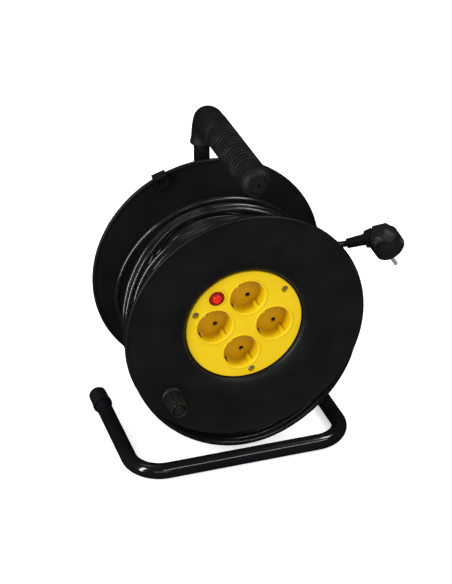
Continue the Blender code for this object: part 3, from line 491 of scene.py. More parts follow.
def knotted(at, column):
    """A smooth curve through the loose turns' knots."""
    knots = [(row[0], row[column]) for row in LOOP_KNOTS]
    slopes = []
    for i in range(len(knots)):
        low, high = knots[max(i - 1, 0)], knots[min(i + 1, len(knots) - 1)]
        slopes.append((high[1] - low[1]) / (high[0] - low[0]))
    for i in range(len(knots) - 1):
        if at <= knots[i + 1][0] or i == len(knots) - 2:
            span = knots[i + 1][0] - knots[i][0]
            t = (at - knots[i][0]) / span
            return (knots[i][1] * (1 + 2 * t) * (1 - t) ** 2 + slopes[i] * span * t * (1 - t) ** 2
                    + knots[i + 1][1] * t * t * (3 - 2 * t) + slopes[i + 1] * span * t * t * (t - 1))


def bezier(start, start_way, end, end_way, handles):
    first = start + start_way.normalized() * handles[0]
    second = end - end_way.normalized() * handles[1]
    points = []
    for i in range(TAIL_STEPS + 1):
        t = i / TAIL_STEPS
        u = 1 - t
        points.append(start * u ** 3 + first * 3 * u * u * t + second * 3 * u * t * t + end * t ** 3)
    return points


def wound_place(radius, angle, depth):
    return world(radius * cos(angle), depth, radius * sin(angle))


def wound_path():
    """In through the barrel's slot, one layer to the back, one layer forwards over it."""
    run = WOUND_BACK - WOUND_FRONT
    start = INLET_ANGLE + INLET_TURN
    # The second layer ends over the drum's top.
    total = 2 * run / WOUND_PITCH + CLIMB_TURNS
    spare = (start - pi / 2) / (2 * pi) + total
    total += round(spare) - spare
    half = (total - CLIMB_TURNS) / 2
    points = []
    count = round(total * WOUND_STEPS)
    for i in range(count + 1):
        turns = total * i / count
        angle = start - 2 * pi * turns
        rise = smooth(turns * 2 * pi / (2 * INLET_TURN))
        climb = smooth((turns - half) / CLIMB_TURNS)
        radius = INLET_RADIUS + (LAYER_RADII[0] - INLET_RADIUS) * rise
        radius += (LAYER_RADII[1] - LAYER_RADII[0]) * climb
        if turns < half:
            depth = WOUND_FRONT + run * max(0.0, turns - HOLD_TURNS) / (half - HOLD_TURNS)
        elif turns < half + CLIMB_TURNS:
            depth = WOUND_BACK
        else:
            depth = WOUND_BACK - run * (turns - half - CLIMB_TURNS) / half
        points.append(wound_place(radius, angle, depth))
    return points


def loose_place(turns):
    """A place on the loose cord; its first stretch leaves the wound layer."""
    angle = pi / 2 - 2 * pi * turns
    depth = knotted(turns, 1)
    radius = knotted(turns, 2)
    top = knotted(turns, 3)
    sag = LOOP_FLAT * sin(2 * angle) ** 2 if sin(angle) < 0 else 0.0
    reach = radius - sag
    place = world(LOOP_X + reach * cos(angle), depth, top - radius + reach * sin(angle))
    inner = wound_place(LAYER_RADII[1], angle, WOUND_FRONT)
    share = smooth(turns * 2 * pi / START_BLEND)
    return inner.lerp(place, share)


def loose_path():
    """Loose turns along the drum, a jump to the back, three turns forwards, and out to the plug."""
    count = round(LOOSE_END * LOOP_STEPS)
    points = [loose_place(LOOSE_END * i / count) for i in range(count + 1)]
    tail_start = world(*TAIL_START)
    way = Vector(TAIL_START_DIRECTION)
    lift = bezier(points[-1], points[-1] - points[-2], tail_start, way, LIFT_HANDLES)
    tail = bezier(tail_start, way, world(*TAIL_END), Vector(CABLE_DIRECTION), TAIL_HANDLES)
    return points + lift[1:] + tail[1:]


def add_cord(name, points, roundness, body, nodes):
    data = bpy.data.curves.new(name, "CURVE")
    data.dimensions = "3D"
    data.bevel_depth = CORD_RADIUS
    data.bevel_resolution = roundness
    data.use_fill_caps = True
    spline = data.splines.new("POLY")
    spline.points.add(len(points) - 1)
    for point, place in zip(spline.points, points):
        point.co = (*place, 1)
    piece = bpy.data.objects.new(name, data)
    bpy.context.scene.collection.objects.link(piece)
    return as_piece(piece, CORD_BLACK, body, nodes)


def add_cords():
    wound = wound_path()
    loose = loose_path()
    inner = add_cord("wound_cord", wound, 4, "drum", ["wound_coil"])
    outer = add_cord("loose_cord", loose, 8, "frame", ["slack_turns", "cord_tail"])


# Frame: the bent tube, its cap and the grip

def left_leg_direction():
    side = -LEG_SHIFT / LEG_LENGTH
    lift = sin(LEG_RISE)
    return Vector((side, sqrt(1 - side * side - lift * lift), lift))


def add_frame_tube():
    floor = TUBE_RADIUS - AXIS_HEIGHT
    route = [
        world(-LEG_X, FOOT_FRONT, floor) + left_leg_direction() * LEG_LENGTH,
        world(-LEG_X, FOOT_FRONT, floor),
        world(LEG_X, FOOT_FRONT, floor),
        world(LEG_X - LEG_SHIFT, UPRIGHT_DEPTH, floor),
        world(0, UPRIGHT_DEPTH, floor),
        world(0, UPRIGHT_DEPTH, HANDLE_HEIGHT),
        world(-HANDLE_LEAN, TUBE_FREE_END, HANDLE_HEIGHT + HANDLE_RISE),
    ]
    path = rounded_path(route, [FOOT_BEND, FOOT_BEND, FOOT_BEND, FOOT_BEND, HANDLE_BEND])
    # The ends are hidden in the cap and in the grip.
    tube = swept(path, [TUBE_RADIUS] * len(path), 40)
    add_piece("bent_tube", tube, PAINT, "frame", ["frame_tube"], Matrix.Identity(4))


CAP_FRONT = 0.1545
CAP_BACK = 0.181
CAP_RADIUS = 0.0112
CAP_COLLAR_RADIUS = 0.012
CAP_COLLAR_LENGTH = 0.0062
CAP_END_WALL = 0.003
CAP_RIBS = 26
CAP_RIB_SHARE = 0.020


def add_foot_cap():
    """A rubber cup with a smooth collar and fine lengthwise ribs."""
    corner = world(-LEG_X, FOOT_FRONT, TUBE_RADIUS - AXIS_HEIGHT)
    seat = (-left_leg_direction()).to_track_quat("Z", "Y").to_matrix().to_4x4()
    seat.translation = corner
    front, back = CAP_FRONT - FOOT_FRONT, CAP_BACK - FOOT_FRONT
    profile = [
        (0, back - CAP_END_WALL),
        (TUBE_RADIUS + GAP, back - CAP_END_WALL),
        (TUBE_RADIUS + GAP, front),
        (CAP_COLLAR_RADIUS, front),
        (CAP_COLLAR_RADIUS, front + CAP_COLLAR_LENGTH),
        (CAP_RADIUS, front + CAP_COLLAR_LENGTH + 0.0010),
        (CAP_RADIUS, back - 0.0045),
        (CAP_RADIUS, back),
        (0, back),
    ]
    bm = turned(softened(profile, 0.0022, steps=4), CAP_RIBS * 4)
    for vert in bm.verts:
        outside = vert.co.xy.length > CAP_RADIUS - 0.0012
        if outside and front + CAP_COLLAR_LENGTH + 0.0016 < -vert.co.z < back - 0.0020:
            turn = Vector((1, 0)).angle_signed(vert.co.xy, 0)
            vert.co.xy *= 1 - CAP_RIB_SHARE * max(0.0, cos(turn * CAP_RIBS))
    add_piece("foot_cup", bm, CAP_RUBBER, "frame", ["foot_cap"], seat, sharp=50)


SKIRT_HEIGHT = 0.1550
SKIRT_FLARE = 0.010
SKIRT_RADIUS = 0.0138
BOOT_RADIUS = 0.0122
KNUCKLE_RADIUS = 0.0166
KNUCKLE_LENGTH = 0.020
GRIP_RADIUS = 0.0172
DOME_BLUNTNESS = 0.42
PLAIN_LENGTH = 0.013
RIB_FADE = 0.012
RIB_PITCH = 0.0072
RIB_DEPTH = 0.0021
# Each ring rises over most of its pitch and falls at its end.
RIB_RISE = 0.80
RIB_FALL = 0.84
# The rings waver by noise along the grip, and slant from side to side, both as shares of their pitch.
WAVER_RATE = 60
WAVER_SHIFT = 0.42
RIB_SLANT = 0.22
END_HOLE_RADIUS = 0.0016


def grip_rings():
    """Points along the grip, its radius at each, and how far past the bend it is, or -1 on the end's dome."""
    route = [
        world(0, UPRIGHT_DEPTH, SKIRT_HEIGHT),
        world(0, UPRIGHT_DEPTH, HANDLE_HEIGHT),
        world(-HANDLE_LEAN, TUBE_FREE_END, HANDLE_HEIGHT + HANDLE_RISE),
    ]
    path = rounded_path(route, [HANDLE_BEND], step=0.0007, turn_step=radians(2))
    bend_end = world(0, UPRIGHT_DEPTH - HANDLE_BEND, 0).y
    back = world(0, UPRIGHT_DEPTH, 0).y
    skirt_top = AXIS_HEIGHT + SKIRT_HEIGHT + SKIRT_FLARE
    radii, runs = [], []
    for place in path:
        if place.y > bend_end and place.z < skirt_top:
            share = (place.z - AXIS_HEIGHT - SKIRT_HEIGHT) / SKIRT_FLARE
            radii.append(SKIRT_RADIUS + (BOOT_RADIUS - SKIRT_RADIUS) * smooth(share))
        elif place.y > bend_end:
            share = (back - place.y) / HANDLE_BEND
            radii.append(BOOT_RADIUS + (KNUCKLE_RADIUS - BOOT_RADIUS) * smooth(share))
        else:
            share = (bend_end - place.y) / KNUCKLE_LENGTH
            radii.append(KNUCKLE_RADIUS + (GRIP_RADIUS - KNUCKLE_RADIUS) * smooth(share))
        runs.append(bend_end - place.y)
    # The skirt's lower edge is rounded off.
    radii[0] -= 0.0008
    forwards = (path[-1] - path[-2]).normalized()
    tube_end = path[-1].copy()
    dome = TUBE_FREE_END - GRIP_END
    for angle in range(6, 85, 6):
        path.append(tube_end + forwards * dome * sin(radians(angle)))
        radii.append(GRIP_RADIUS * cos(radians(angle)) ** DOME_BLUNTNESS)
        runs.append(-1.0)
    path.append(tube_end + forwards * dome)
    radii.append(GRIP_RADIUS * 0.16)
    runs.append(-1.0)
    return path, radii, runs


def add_grip():
    """A soft rubber grip: a skirt round the upright, a knuckle, and a run of uneven rings."""
    path, radii, runs = grip_rings()
    ribbed = world(0, UPRIGHT_DEPTH - HANDLE_BEND, 0).y - world(0, TUBE_FREE_END, 0).y

    def rings(i, out):
        run = runs[i]
        if run < 0:
            return 0.0
        fade = smooth((run - PLAIN_LENGTH) / RIB_FADE) * smooth((ribbed - run) / RIB_FADE)
        low = 0.5 - 0.5 * out.z
        waver = noise.noise(Vector((run * WAVER_RATE, out.x * 1.3, out.z * 1.3)))
        phase = run / RIB_PITCH + WAVER_SHIFT * waver + RIB_SLANT * out.x
        ridge = phase - int(phase)
        height = smooth(ridge / RIB_RISE) * (1 - smooth((ridge - RIB_FALL) / (1 - RIB_FALL)))
        depth = RIB_DEPTH * (0.50 + 0.50 * low) * (0.75 + 0.9 * waver)
        return -depth * fade * (1 - height)

    grip = swept(path, radii, 56, rings)
    forwards = (path[-1] - path[-2]).normalized()
    seat = forwards.to_track_quat("Z", "Y").to_matrix().to_4x4()
    seat.translation = path[-1]
    hole = rods([(0, 0)], END_HOLE_RADIUS, -0.001, 0.004, 24)
    ring = [(0.0098, -0.001), (0.0112, -0.001), (0.0108, 0.0016), (0.0102, 0.0016)]
    groove = turned(ring, 48, closed=True)
    grip = worked(grip, [("DIFFERENCE", moved(hole, seat)), ("DIFFERENCE", moved(groove, seat))])
    add_piece("rubber_grip", grip, RUBBER, "frame", ["handle_grip"],
              Matrix.Identity(4), sharp=60)


# Drum shell

PANEL_RADIUS = 0.06905
PANEL_FACE = 0.0091
PANEL_BACK = 0.0121
LEDGE_FRONT = PANEL_BACK + 0.0004
HUB_FRONT = 0.104
HUB_BACK = 0.1495
BUSH_RADIUS = 0.0089
WEB_FRONT = 0.1395
WEB_BACK = 0.1430
WEB_RIB = (0.0580, 0.0022, 0.0060)
WEB_RIB_MIDDLE = 0.0440
LEDGE_RADIUS = 0.0678
LEDGE_BACK = LEDGE_FRONT + 0.0027
CORNER_CURVE = 0.0018
INLET_SLOT = (0.020, 0.034, 0.009)
POST_HOLE_RADIUS = 0.0023
JOINT_SCREW_CIRCLE = 0.062
JOINT_SCREW_ANGLES = [radians(45 + 90 * i) for i in range(4)]
PANEL_SCREW_CIRCLE = 0.0618
PANEL_SCREW_ANGLES = [radians(38.6 + 120 * i) for i in range(3)]


def add_front_flange():
    profile = [
        (0.0705, 0.0085), (0.0735, 0.0052), (0.0790, 0.0028), (0.0880, 0.0012), (0.1375, 0.0010),
        (0.1403, 0.0000), (0.1418, 0.0005), (DRUM_RADIUS, 0.0020), (DRUM_RADIUS, 0.0042), (0.1408, 0.0058),
        (0.1372, 0.0040), (0.0930, 0.0040), (0.0790, 0.0070), (BARREL_RADIUS, 0.0130),
        (BARREL_RADIUS, BARREL_JOINT), (BARREL_INNER, BARREL_JOINT), (BARREL_INNER, LEDGE_BACK),
        (LEDGE_RADIUS, LEDGE_BACK), (LEDGE_RADIUS, LEDGE_FRONT), (0.0705, LEDGE_FRONT),
    ]
    shell = turned(softened(profile, CORNER_CURVE, closed=True), 180, closed=True)
    slot = polar(BARREL_RADIUS, INLET_ANGLE, WOUND_FRONT + 0.0005)
    shell = worked(shell, [("DIFFERENCE", boxes([(slot, INLET_SLOT, INLET_ANGLE)]))])
    add_piece("front_shell", shell, SHELL, "drum", ["front_flange"], sharp=50)


def add_rear_flange():
    back = DRUM_WIDTH
    joint = BARREL_JOINT + GAP
    profile = [
        (BARREL_INNER, joint), (BARREL_RADIUS, joint), (BARREL_RADIUS, back - 0.0130),
        (0.0790, back - 0.0070), (0.0930, back - 0.0040), (0.1372, back - 0.0040), (0.1408, back - 0.0058),
        (DRUM_RADIUS, back - 0.0042), (DRUM_RADIUS, back - 0.0020), (0.1418, back - 0.0005), (0.1403, back),
        (0.1375, back - 0.0010), (0.0880, back - 0.0012), (0.0780, back - 0.0030), (0.0725, back - 0.0085),
        (0.0700, WEB_BACK), (0.0180, WEB_BACK), (0.0155, HUB_BACK), (BUSH_RADIUS + GAP, HUB_BACK),
        (BUSH_RADIUS + GAP, HUB_FRONT), (0.0150, HUB_FRONT), (0.0160, WEB_FRONT), (BARREL_INNER, WEB_FRONT),
    ]
    shell = turned(softened(profile, CORNER_CURVE, closed=True), 180, closed=True)
    angles = [radians(22.5 + 45 * i) for i in range(8)]
    ribs = [(polar(WEB_RIB_MIDDLE, angle, WEB_BACK + 0.0005), WEB_RIB, angle) for angle in angles]
    posts = [polar(JOINT_SCREW_CIRCLE, angle) for angle in JOINT_SCREW_ANGLES]
    holes = rods(posts, POST_HOLE_RADIUS, 0.130, 0.150)
    shell = worked(shell, [("UNION", boxes(ribs)), ("DIFFERENCE", holes)])
    add_piece("rear_shell", shell, SHELL, "drum", ["rear_flange"], sharp=50)


# Screws as (shank radius, head radius, head height, length)
JOINT_SCREW = (0.0018, 0.0046, 0.0026, 0.0820)
PANEL_SCREW = (0.0016, 0.0036, 0.0022, 0.0130)
CROSS_CUT = 0.0024
CROSS_TURN = 0.4
PANEL_SCREW_SEAT = 0.0145
PANEL_SCREW_TWIST = 1.1


def screw_mesh(shank_radius, head_radius, head_height, length):
    """A pan-headed screw with a cross recess; its head sits on depth 0 and faces forwards."""
    profile = [
        (0, -head_height),
        (head_radius * 0.70, -head_height),
        (head_radius, -head_height * 0.45),
        (head_radius, 0),
        (shank_radius, 0),
        (shank_radius, length - shank_radius),
        (0, length),
    ]
    top = Vector((0, 0, head_height))
    arm, thin = head_radius * 1.15, head_radius * 0.30
    cross = [(top, (arm, thin, CROSS_CUT), CROSS_TURN), (top, (thin, arm, CROSS_CUT), CROSS_TURN)]
    steps = [("DIFFERENCE", boxes([item])) for item in cross]
    return worked(turned(softened(profile, 0.0004), 40), steps)


def add_screws():
    for i, angle in enumerate(JOINT_SCREW_ANGLES, start=1):
        seat = Matrix.Translation(polar(JOINT_SCREW_CIRCLE, angle, WEB_BACK + GAP))
        seat = seat @ Matrix.Rotation(pi, 4, "X")
        screw = moved(screw_mesh(*JOINT_SCREW), seat)
        add_piece(f"shell_screw_{i}", screw, STEEL, "drum", [f"joint_screw_{i}"])
    for i, angle in enumerate(PANEL_SCREW_ANGLES, start=1):
        seat = Matrix.Translation(polar(PANEL_SCREW_CIRCLE, angle, PANEL_SCREW_SEAT))
        seat = seat @ Matrix.Rotation(i * PANEL_SCREW_TWIST, 4, "Z")
        screw = moved(screw_mesh(*PANEL_SCREW), seat)
        add_piece(f"face_screw_{i}", screw, STEEL, "drum", [f"panel_screw_{i}"])


# Socket panel

SOCKET_CIRCLE = 0.0354
SOCKET_TURN = radians(-6.1)
WELL_RADIUS = 0.02025
WELL_FLOOR = 0.0281
WELL_BACK = 0.0301
WELL_RIB_FRONT = 0.0120
WELL_RIB_BACK = WELL_FLOOR + 0.0005
LIP_RADIUS = 0.0232
LIP_RISE = 0.0006
PIN_LINE = radians(-52)
EARTH_LINE = PIN_LINE + pi / 2
EARTH_SLOT = (0.0033, 0.0064, 0.0210)
EARTH_SLOT_CIRCLE = 0.02155
EARTH_SLOT_DEPTH = 0.0235
PIN_SPACING = 0.019
PIN_HOLE_RADIUS = 0.0030
PIN_COLLAR_RADIUS = 0.0043
BOSS_FRONT = 0.011
SCREW_BOSS_RADIUS = 0.0054
SCREW_SEAT_RADIUS = 0.0043
SCREW_HOLE_RADIUS = 0.0021
BUTTON_PLACE = (-0.0333, 0.0410)
BUTTON_RADIUS = 0.0089
BUTTON_COLLAR_RADIUS = 0.0112
BUTTON_DOME_DEPTH = 0.0053
BUTTON_RING_DEPTH = 0.0078


def well_features(centre, lip):
    """What one socket adds to the panel and cuts from it; lip is the depth of its raised edge."""
    mouth = [
        (0, PANEL_FACE - 0.002), (WELL_RADIUS + 0.0022, PANEL_FACE - 0.002), (WELL_RADIUS + 0.0018, lip),
        (WELL_RADIUS + 0.0007, PANEL_FACE + 0.0004), (WELL_RADIUS, PANEL_FACE + 0.0020),
        (WELL_RADIUS - 0.0002, WELL_FLOOR), (0, WELL_FLOOR),
    ]
    edge = [
        (0, lip), (LIP_RADIUS, lip), (LIP_RADIUS + 0.0006, PANEL_FACE + 0.0004), (0, PANEL_FACE + 0.0004),
    ]
    seat = Matrix.Translation(centre)
    pins = [centre + polar(PIN_SPACING / 2, PIN_LINE + side) for side in (0, pi)]
    rib_size = (0.0036, 0.0044, WELL_RIB_BACK - WELL_RIB_FRONT)
    ribs, slots = [], []
    for side in (0, pi):
        place = centre + polar(WELL_RADIUS - 0.0006, PIN_LINE + side)
        place.z = -(WELL_RIB_FRONT + WELL_RIB_BACK) / 2
        ribs.append((place, rib_size, PIN_LINE))
        place = centre + polar(EARTH_SLOT_CIRCLE, EARTH_LINE + side)
        place.z = -EARTH_SLOT_DEPTH
        slots.append((place, EARTH_SLOT, EARTH_LINE))
    return [
        ("UNION", rods([centre], WELL_RADIUS + 0.002, BOSS_FRONT, WELL_BACK, 72)),
        ("UNION", moved(turned(softened(edge, 0.0004), 72), seat)),
        ("DIFFERENCE", moved(turned(softened(mouth, 0.0008), 72), seat)),
        ("UNION", boxes(ribs)),
        ("UNION", rods(pins, PIN_COLLAR_RADIUS, WELL_FLOOR - 0.0004, WELL_FLOOR + 0.001, 32)),
        ("DIFFERENCE", boxes(slots)),
        ("DIFFERENCE", rods(pins, PIN_HOLE_RADIUS, 0.026, 0.032, 24)),
    ]


def add_panel():
    face = [
        (0, PANEL_FACE), (PANEL_RADIUS - 0.0012, PANEL_FACE), (PANEL_RADIUS - 0.0003, PANEL_FACE + 0.0004),
        (PANEL_RADIUS, PANEL_FACE + 0.0012), (PANEL_RADIUS, PANEL_BACK), (0, PANEL_BACK),
    ]
    screws = [polar(PANEL_SCREW_CIRCLE, angle) for angle in PANEL_SCREW_ANGLES]
    button = [BUTTON_PLACE]
    steps = [
        ("UNION", rods(screws, SCREW_BOSS_RADIUS, BOSS_FRONT, 0.0165, 32)),
        ("UNION", rods(button, BUTTON_COLLAR_RADIUS, PANEL_FACE - 0.0008, BOSS_FRONT, 48)),
    ]
    for i in range(4):
        centre = polar(SOCKET_CIRCLE, SOCKET_TURN + i * pi / 2)
        steps += well_features(centre, PANEL_FACE - LIP_RISE)
    steps += [
        ("DIFFERENCE", rods(screws, SCREW_SEAT_RADIUS, 0.005, PANEL_SCREW_SEAT + GAP, 32)),
        ("DIFFERENCE", rods(screws, SCREW_HOLE_RADIUS, 0.013, 0.018, 24)),
        ("DIFFERENCE", rods(button, BUTTON_RADIUS + 0.0004, 0.005, 0.014, 48)),
    ]
    panel = worked(turned(softened(face, 0.0004), 144), steps)
    # Painted shade: the yellow darkens with depth, from the panel's back down to the wells' floors.
    paint_depth_shade(YELLOW, world(0, PANEL_BACK, 0).y, world(0, WELL_FLOOR, 0).y, WELL_PAINTED_SHADE)
    add_piece("yellow_panel", panel, YELLOW, "drum", ["socket_panel"], sharp=38)


def add_button():
    """A domed button with a sunk ring round the dome, and a collar and stem behind the panel."""
    profile = [
        (0, 0.0049), (0.0030, 0.0051), (0.0046, 0.0056), (0.0054, 0.0068), (0.0058, 0.0077),
        (0.0072, 0.0076), (0.0083, 0.0078), (BUTTON_RADIUS, 0.0087), (BUTTON_RADIUS, 0.0126),
        (0.0104, 0.0126), (0.0104, 0.0140), (0.0025, 0.0140), (0.0025, 0.0200), (0, 0.0200),
    ]
    seat = Matrix.Translation((*BUTTON_PLACE, 0))
    button = moved(turned(softened(profile, 0.0004), 64), seat)
    # Painted shade: the red darkens with depth, from the dome to the sunk ring round it.
    paint_depth_shade(RED, world(0, BUTTON_DOME_DEPTH, 0).y, world(0, BUTTON_RING_DEPTH, 0).y, BUTTON_PAINTED_SHADE)
    add_piece("red_button", button, RED, "reset_button", ["reset_button"], sharp=50)


# Pieces on the drum

KNOB_PLACE = (-0.0905, -0.0715)
KNOB_BASE = -0.0032
KNOB_TIP = KNOB_BASE - 0.0310
KNOB_BORE = 0.0032
KNOB_SKIRT_RADIUS = 0.0124
KNOB_FLUTES = 10
KNOB_FLUTE_CIRCLE = 0.0118
KNOB_FLUTE_RADIUS = 0.0026


def add_knob():
    profile = [
        (KNOB_BORE, KNOB_TIP + 0.0030), (0.0070, KNOB_TIP + 0.0030), (0.0078, KNOB_TIP), (0.0090, KNOB_TIP),
        (0.0098, KNOB_TIP + 0.0010), (0.0112, KNOB_BASE - 0.0036), (KNOB_SKIRT_RADIUS, KNOB_BASE - 0.0024),
        (KNOB_SKIRT_RADIUS, KNOB_BASE), (KNOB_BORE, KNOB_BASE),
    ]
    knob = turned(softened(profile, 0.0005, closed=True), 80, closed=True)
    flutes = [polar(KNOB_FLUTE_CIRCLE, 2 * pi * i / KNOB_FLUTES) for i in range(KNOB_FLUTES)]
    cutter = rods(flutes, KNOB_FLUTE_RADIUS + GAP, KNOB_TIP - 0.001, KNOB_BASE - 0.0052, 24)
    knob = worked(knob, [("DIFFERENCE", cutter)])
    seat = Matrix.Translation((*KNOB_PLACE, 0))
    add_piece("fluted_knob", moved(knob, seat), KNOB_BLACK, "winding_knob", ["winding_knob"],
              sharp=40)


CLIP_ANGLE = radians(114.1)
CLIP_TILT = radians(-6)
CLIP_WIDTH = 0.0165
CLIP_POCKET = (0.0088, CLIP_WIDTH - 0.0036, 0.0064)
CLIP_TOP = 0.1446
CLIP_FOOT = 0.1297
CLIP_HEEL = 0.1330
CLIP_RIB_PITCH = 0.0040
CLIP_RIB_RISE = 0.0007


def add_clip():
    """The ribbed clip on the rear rim that holds the cord's end. The CLIP_ radii are from the drum's axis."""
    front = DRUM_WIDTH - 0.0058 - GAP
    back = DRUM_WIDTH + GAP
    face = front - 0.0053
    heel = back + 0.0015
    inner = DRUM_RADIUS + 0.0011
    outline = [
        (CLIP_HEEL, back), (inner, back), (inner, front),
        (CLIP_FOOT, front), (CLIP_FOOT, face), (CLIP_TOP, face),
    ]
    crest = CLIP_TOP + CLIP_RIB_RISE
    for i in range(3):
        start = face + 0.0016 + CLIP_RIB_PITCH * i
        end = start + CLIP_RIB_PITCH / 2
        outline += [(CLIP_TOP, start), (crest, start), (crest, end), (CLIP_TOP, end)]
    outline += [(CLIP_TOP, heel), (CLIP_HEEL, heel)]
    # The outline's second number is depth, which runs against the drum's Z.
    block = bmesh.new()
    sides = []
    for across in (-CLIP_WIDTH / 2, CLIP_WIDTH / 2):
        sides.append([block.verts.new((radius - DRUM_RADIUS, across, -depth)) for radius, depth in outline])
    block.faces.new(sides[0])
    block.faces.new(sides[1])
    for i in range(len(outline)):
        j = (i + 1) % len(outline)
        block.faces.new((sides[0][i], sides[0][j], sides[1][j], sides[1][i]))
    bmesh.ops.recalc_face_normals(block, faces=block.faces)
    centre = Vector(((CLIP_FOOT + CLIP_TOP) / 2 - DRUM_RADIUS, 0, -face - 0.0010))
    pocket = boxes([(centre, CLIP_POCKET, 0.0)])
    clip = worked(block, [("DIFFERENCE", pocket)], bevel=0.00035)
    seat = Matrix.Translation(polar(DRUM_RADIUS, CLIP_ANGLE))
    seat = seat @ Matrix.Rotation(CLIP_ANGLE + CLIP_TILT, 4, "Z")
    add_piece("rim_clip", moved(clip, seat), SHELL, "drum", ["cord_clip"])


# Plug

PLUG_RADIUS = 0.0184
PLUG_SHOULDER = -0.0193
PLUG_BACK = -0.0324
PLUG_BACK_SHARE = 0.935
NECK_START = -0.0205
NECK_LEVEL = -0.0236
BOOT_END = -0.0433
ARCH_X = 0.0025
ARCH_RADIUS = 0.0084
ARCH_FACE = 0.0116
GROOVE_PLACE = (0.0186, 0, -0.0060)
GROOVE_SIZE = (0.0030, 0.0066, 0.0124)
PIN_RADIUS = 0.0024
PIN_LENGTH = 0.0190
PIN_ROOT = 0.0090
BOOT_PITCH = 0.0035
BOOT_GROOVE = 0.0016


def plug_seat():
    """The plug's own frame: X along the cord's way out, Z along the pins, and the shell at negative Z."""
    down = Vector(PIN_DIRECTION).normalized()
    forward = Vector(CABLE_DIRECTION)
    forward = (forward - down * forward.dot(down)).normalized()
    seat = Matrix((forward, down.cross(forward), down)).transposed().to_4x4()
    seat.translation = world(*TAIL_END) + forward * (GAP - BOOT_END) - down * NECK_LEVEL
    return seat


def add_plug():
    """A round plug with a flat-sided back, a neck for the cord, two pins and a boot."""
    seat = plug_seat()
    rim = circle(PLUG_RADIUS, 64)
    face = [(x, y, -0.0008) for x, y in rim] + [(x, y, PLUG_SHOULDER) for x, y in rim]
    face += [(x * 0.96, y * 0.96, 0) for x, y in rim]
    inset = circle(PLUG_RADIUS * PLUG_BACK_SHARE, 64)
    back = [(x, y, z) for z in (PLUG_SHOULDER + 0.001, PLUG_SHOULDER - 0.0012) for x, y in inset]
    back += [(x, side * 0.0098, PLUG_BACK) for x in (-0.0089, 0.0087) for side in (-1, 1)]
    # The neck's two ends, as (x, half width, near z, far z)
    neck_ends = ((-0.0110, 0.0090, -0.0152, -0.0312), (NECK_START, 0.0074, -0.0168, -0.0302))
    neck = []
    for x, wide, near, far in neck_ends:
        neck += [(x, side * wide, z) for side in (-1, 1) for z in (near, far)]
    pins = [(0, side * PIN_SPACING / 2) for side in (-1, 1)]
    x, y, z = GROOVE_PLACE
    grooves = [(Vector((side * x, y, z)), GROOVE_SIZE, 0.0) for side in (-1, 1)]
    steps = [("UNION", hull(back)), ("UNION", hull(neck))]
    steps += [("DIFFERENCE", thumb_arch(side)) for side in (-1, 1)]
    body = worked(hull(face), steps, bevel=0.0005, bevel_angle=24)
    # rods() takes depths, which run against Z.
    sockets = rods(pins, PIN_RADIUS + GAP, -0.0010, PIN_ROOT + GAP, 32)
    body = worked(body, [("DIFFERENCE", sockets), ("DIFFERENCE", boxes(grooves))])
    pieces = [add_piece("plug_shell", moved(body, seat), PLUG_BLACK, "frame", ["plug_body"],
                        Matrix.Identity(4), sharp=18)]
    for i, (x, y) in enumerate(pins, start=1):
        profile = [
            (0, -PIN_LENGTH), (PIN_RADIUS * 0.6, -PIN_LENGTH + 0.0002), (PIN_RADIUS, -PIN_LENGTH + 0.0014),
            (PIN_RADIUS, PIN_ROOT), (0, PIN_ROOT),
        ]
        pin = moved(turned(softened(profile, 0.0005), 40), seat @ Matrix.Translation((x, y, 0)))
        pieces.append(add_piece(f"bright_pin_{i}", pin, NICKEL, "frame", [f"plug_pin_{i}"],
                                Matrix.Identity(4)))
    pieces.append(add_boot(seat))
    return pieces + [frame["nodes"]["plug_earth_1"], frame["nodes"]["plug_earth_2"]]


def thumb_arch(side):
    """A cutter for the half-round finger rest behind the shoulder, on one side of the plug."""
    angles = [pi * i / 16 for i in range(17)]
    arc = [(ARCH_X + ARCH_RADIUS * cos(angle), PLUG_SHOULDER - ARCH_RADIUS * sin(angle)) for angle in angles]
    return hull([(x, side * y, z) for x, z in arc for y in (ARCH_FACE, PLUG_RADIUS + 0.003)])


def add_boot(seat):
    """The grooved strain relief round the cord."""
    start = NECK_START - GAP
    profile = [(0, -start), (0.0070, -start), (0.0067, -start + 0.0040)]
    for i in range(5):
        depth = -start + 0.0044 + BOOT_PITCH * i
        rib = depth + BOOT_PITCH * 0.4
        radius = 0.0066 - 0.00016 * i
        profile += [(radius - BOOT_GROOVE, depth), (radius - BOOT_GROOVE, rib)]
        profile += [(radius, rib), (radius, depth + BOOT_PITCH)]
    profile += [(0.0058, -BOOT_END), (0, -BOOT_END)]
    axis = Matrix.Translation((0, 0, NECK_LEVEL)) @ Matrix.Rotation(pi / 2, 4, "Y")
    boot = moved(turned(softened(profile, 0.0003), 48), seat @ axis)
    return add_piece("ribbed_boot", boot, PLUG_BLACK, "frame", ["plug_boot"],
                     Matrix.Identity(4), sharp=50)


# Studio

WORLD_STRENGTH = 0.95
FLOOR_REACH = 8.0
FLOOR_DROP = 0.0002
FLOOR_GLOW = 0.55
LIGHT_AIM = Vector((0, 0, 0.15))
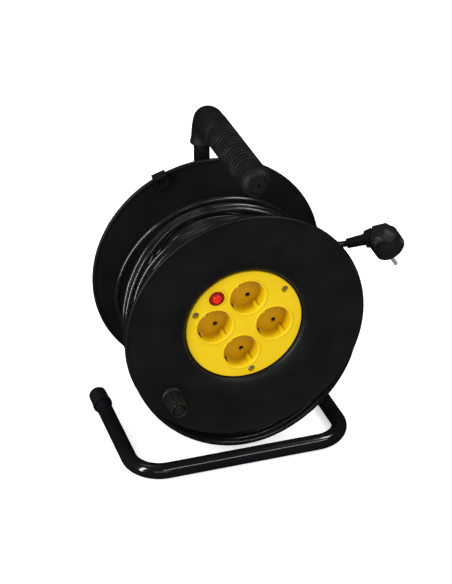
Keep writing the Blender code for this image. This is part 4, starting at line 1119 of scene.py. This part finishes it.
# Each light as (name, place, size, watts)
SOFTBOXES = (
    ("left_softbox", (-1.6, -0.7, 0.85), (0.28, 1.7), 26),
    ("right_softbox", (0.95, -0.35, 1.6), (0.5, 0.6), 8),
    ("top_softbox", (-0.1, 0.5, 1.9), (1.3, 0.5), 2),
    ("front_softbox", (-0.5, -2.2, 0.9), (1.6, 0.5), 3),
    ("bar_strip", (0.5, -1.45, 1.4), (1.6, 0.10), 6),
)


def add_softbox(name, place, size, watts):
    data = bpy.data.lights.new(name, "AREA")
    data.shape = "RECTANGLE"
    data.size, data.size_y = size
    data.energy = watts
    light = bpy.data.objects.new(name, data)
    light.location = place
    light.rotation_euler = (Vector(place) - LIGHT_AIM).to_track_quat("Z", "Y").to_euler()
    bpy.context.scene.collection.objects.link(light)


def add_floor():
    """A plain pale floor that glows a little, and that neither gloss nor bounced light sees."""
    corners = [(x * FLOOR_REACH, y * FLOOR_REACH, 0) for x, y in ((-1, -1), (1, -1), (1, 1), (-1, 1))]
    mesh = bpy.data.meshes.new("floor")
    mesh.from_pydata(corners, [], [(0, 1, 2, 3)])
    finish = material("pale_floor", (0.88, 0.88, 0.88), (0.92, 0.92, 0.92),
                      roughness=0.7, spread=0.05, grain=60, depth=0.0001, blotch=3.0)
    shader = finish.node_tree.nodes["Principled BSDF"]
    shader.inputs["Emission Color"].default_value = (1, 1, 1, 1)
    shader.inputs["Emission Strength"].default_value = FLOOR_GLOW
    mesh.materials.append(finish)
    floor = bpy.data.objects.new("floor", mesh)
    bpy.context.scene.collection.objects.link(floor)
    floor.location.z = -FLOOR_DROP
    floor.visible_glossy = False
    floor.visible_diffuse = False


def add_studio():
    scene = bpy.context.scene
    scene.view_settings.view_transform = "Standard"
    surroundings = bpy.data.worlds.new("studio")
    surroundings.use_nodes = True
    background = surroundings.node_tree.nodes["Background"]
    background.inputs["Color"].default_value = (1, 1, 1, 1)
    background.inputs["Strength"].default_value = WORLD_STRENGTH
    scene.world = surroundings
    # Gloss shows the softboxes alone, as it does in a black-lined studio.
    surroundings.cycles_visibility.glossy = False
    for softbox in SOFTBOXES:
        add_softbox(*softbox)
    add_floor()


def build():
    add_camera()
    plug_pieces = add_plug()
    add_cords()
    paint_kept_nodes()
    add_frame_tube()
    add_foot_cap()
    add_grip()
    add_front_flange()
    add_rear_flange()
    add_screws()
    add_panel()
    add_button()
    add_knob()
    add_clip()
    add_studio()


build()
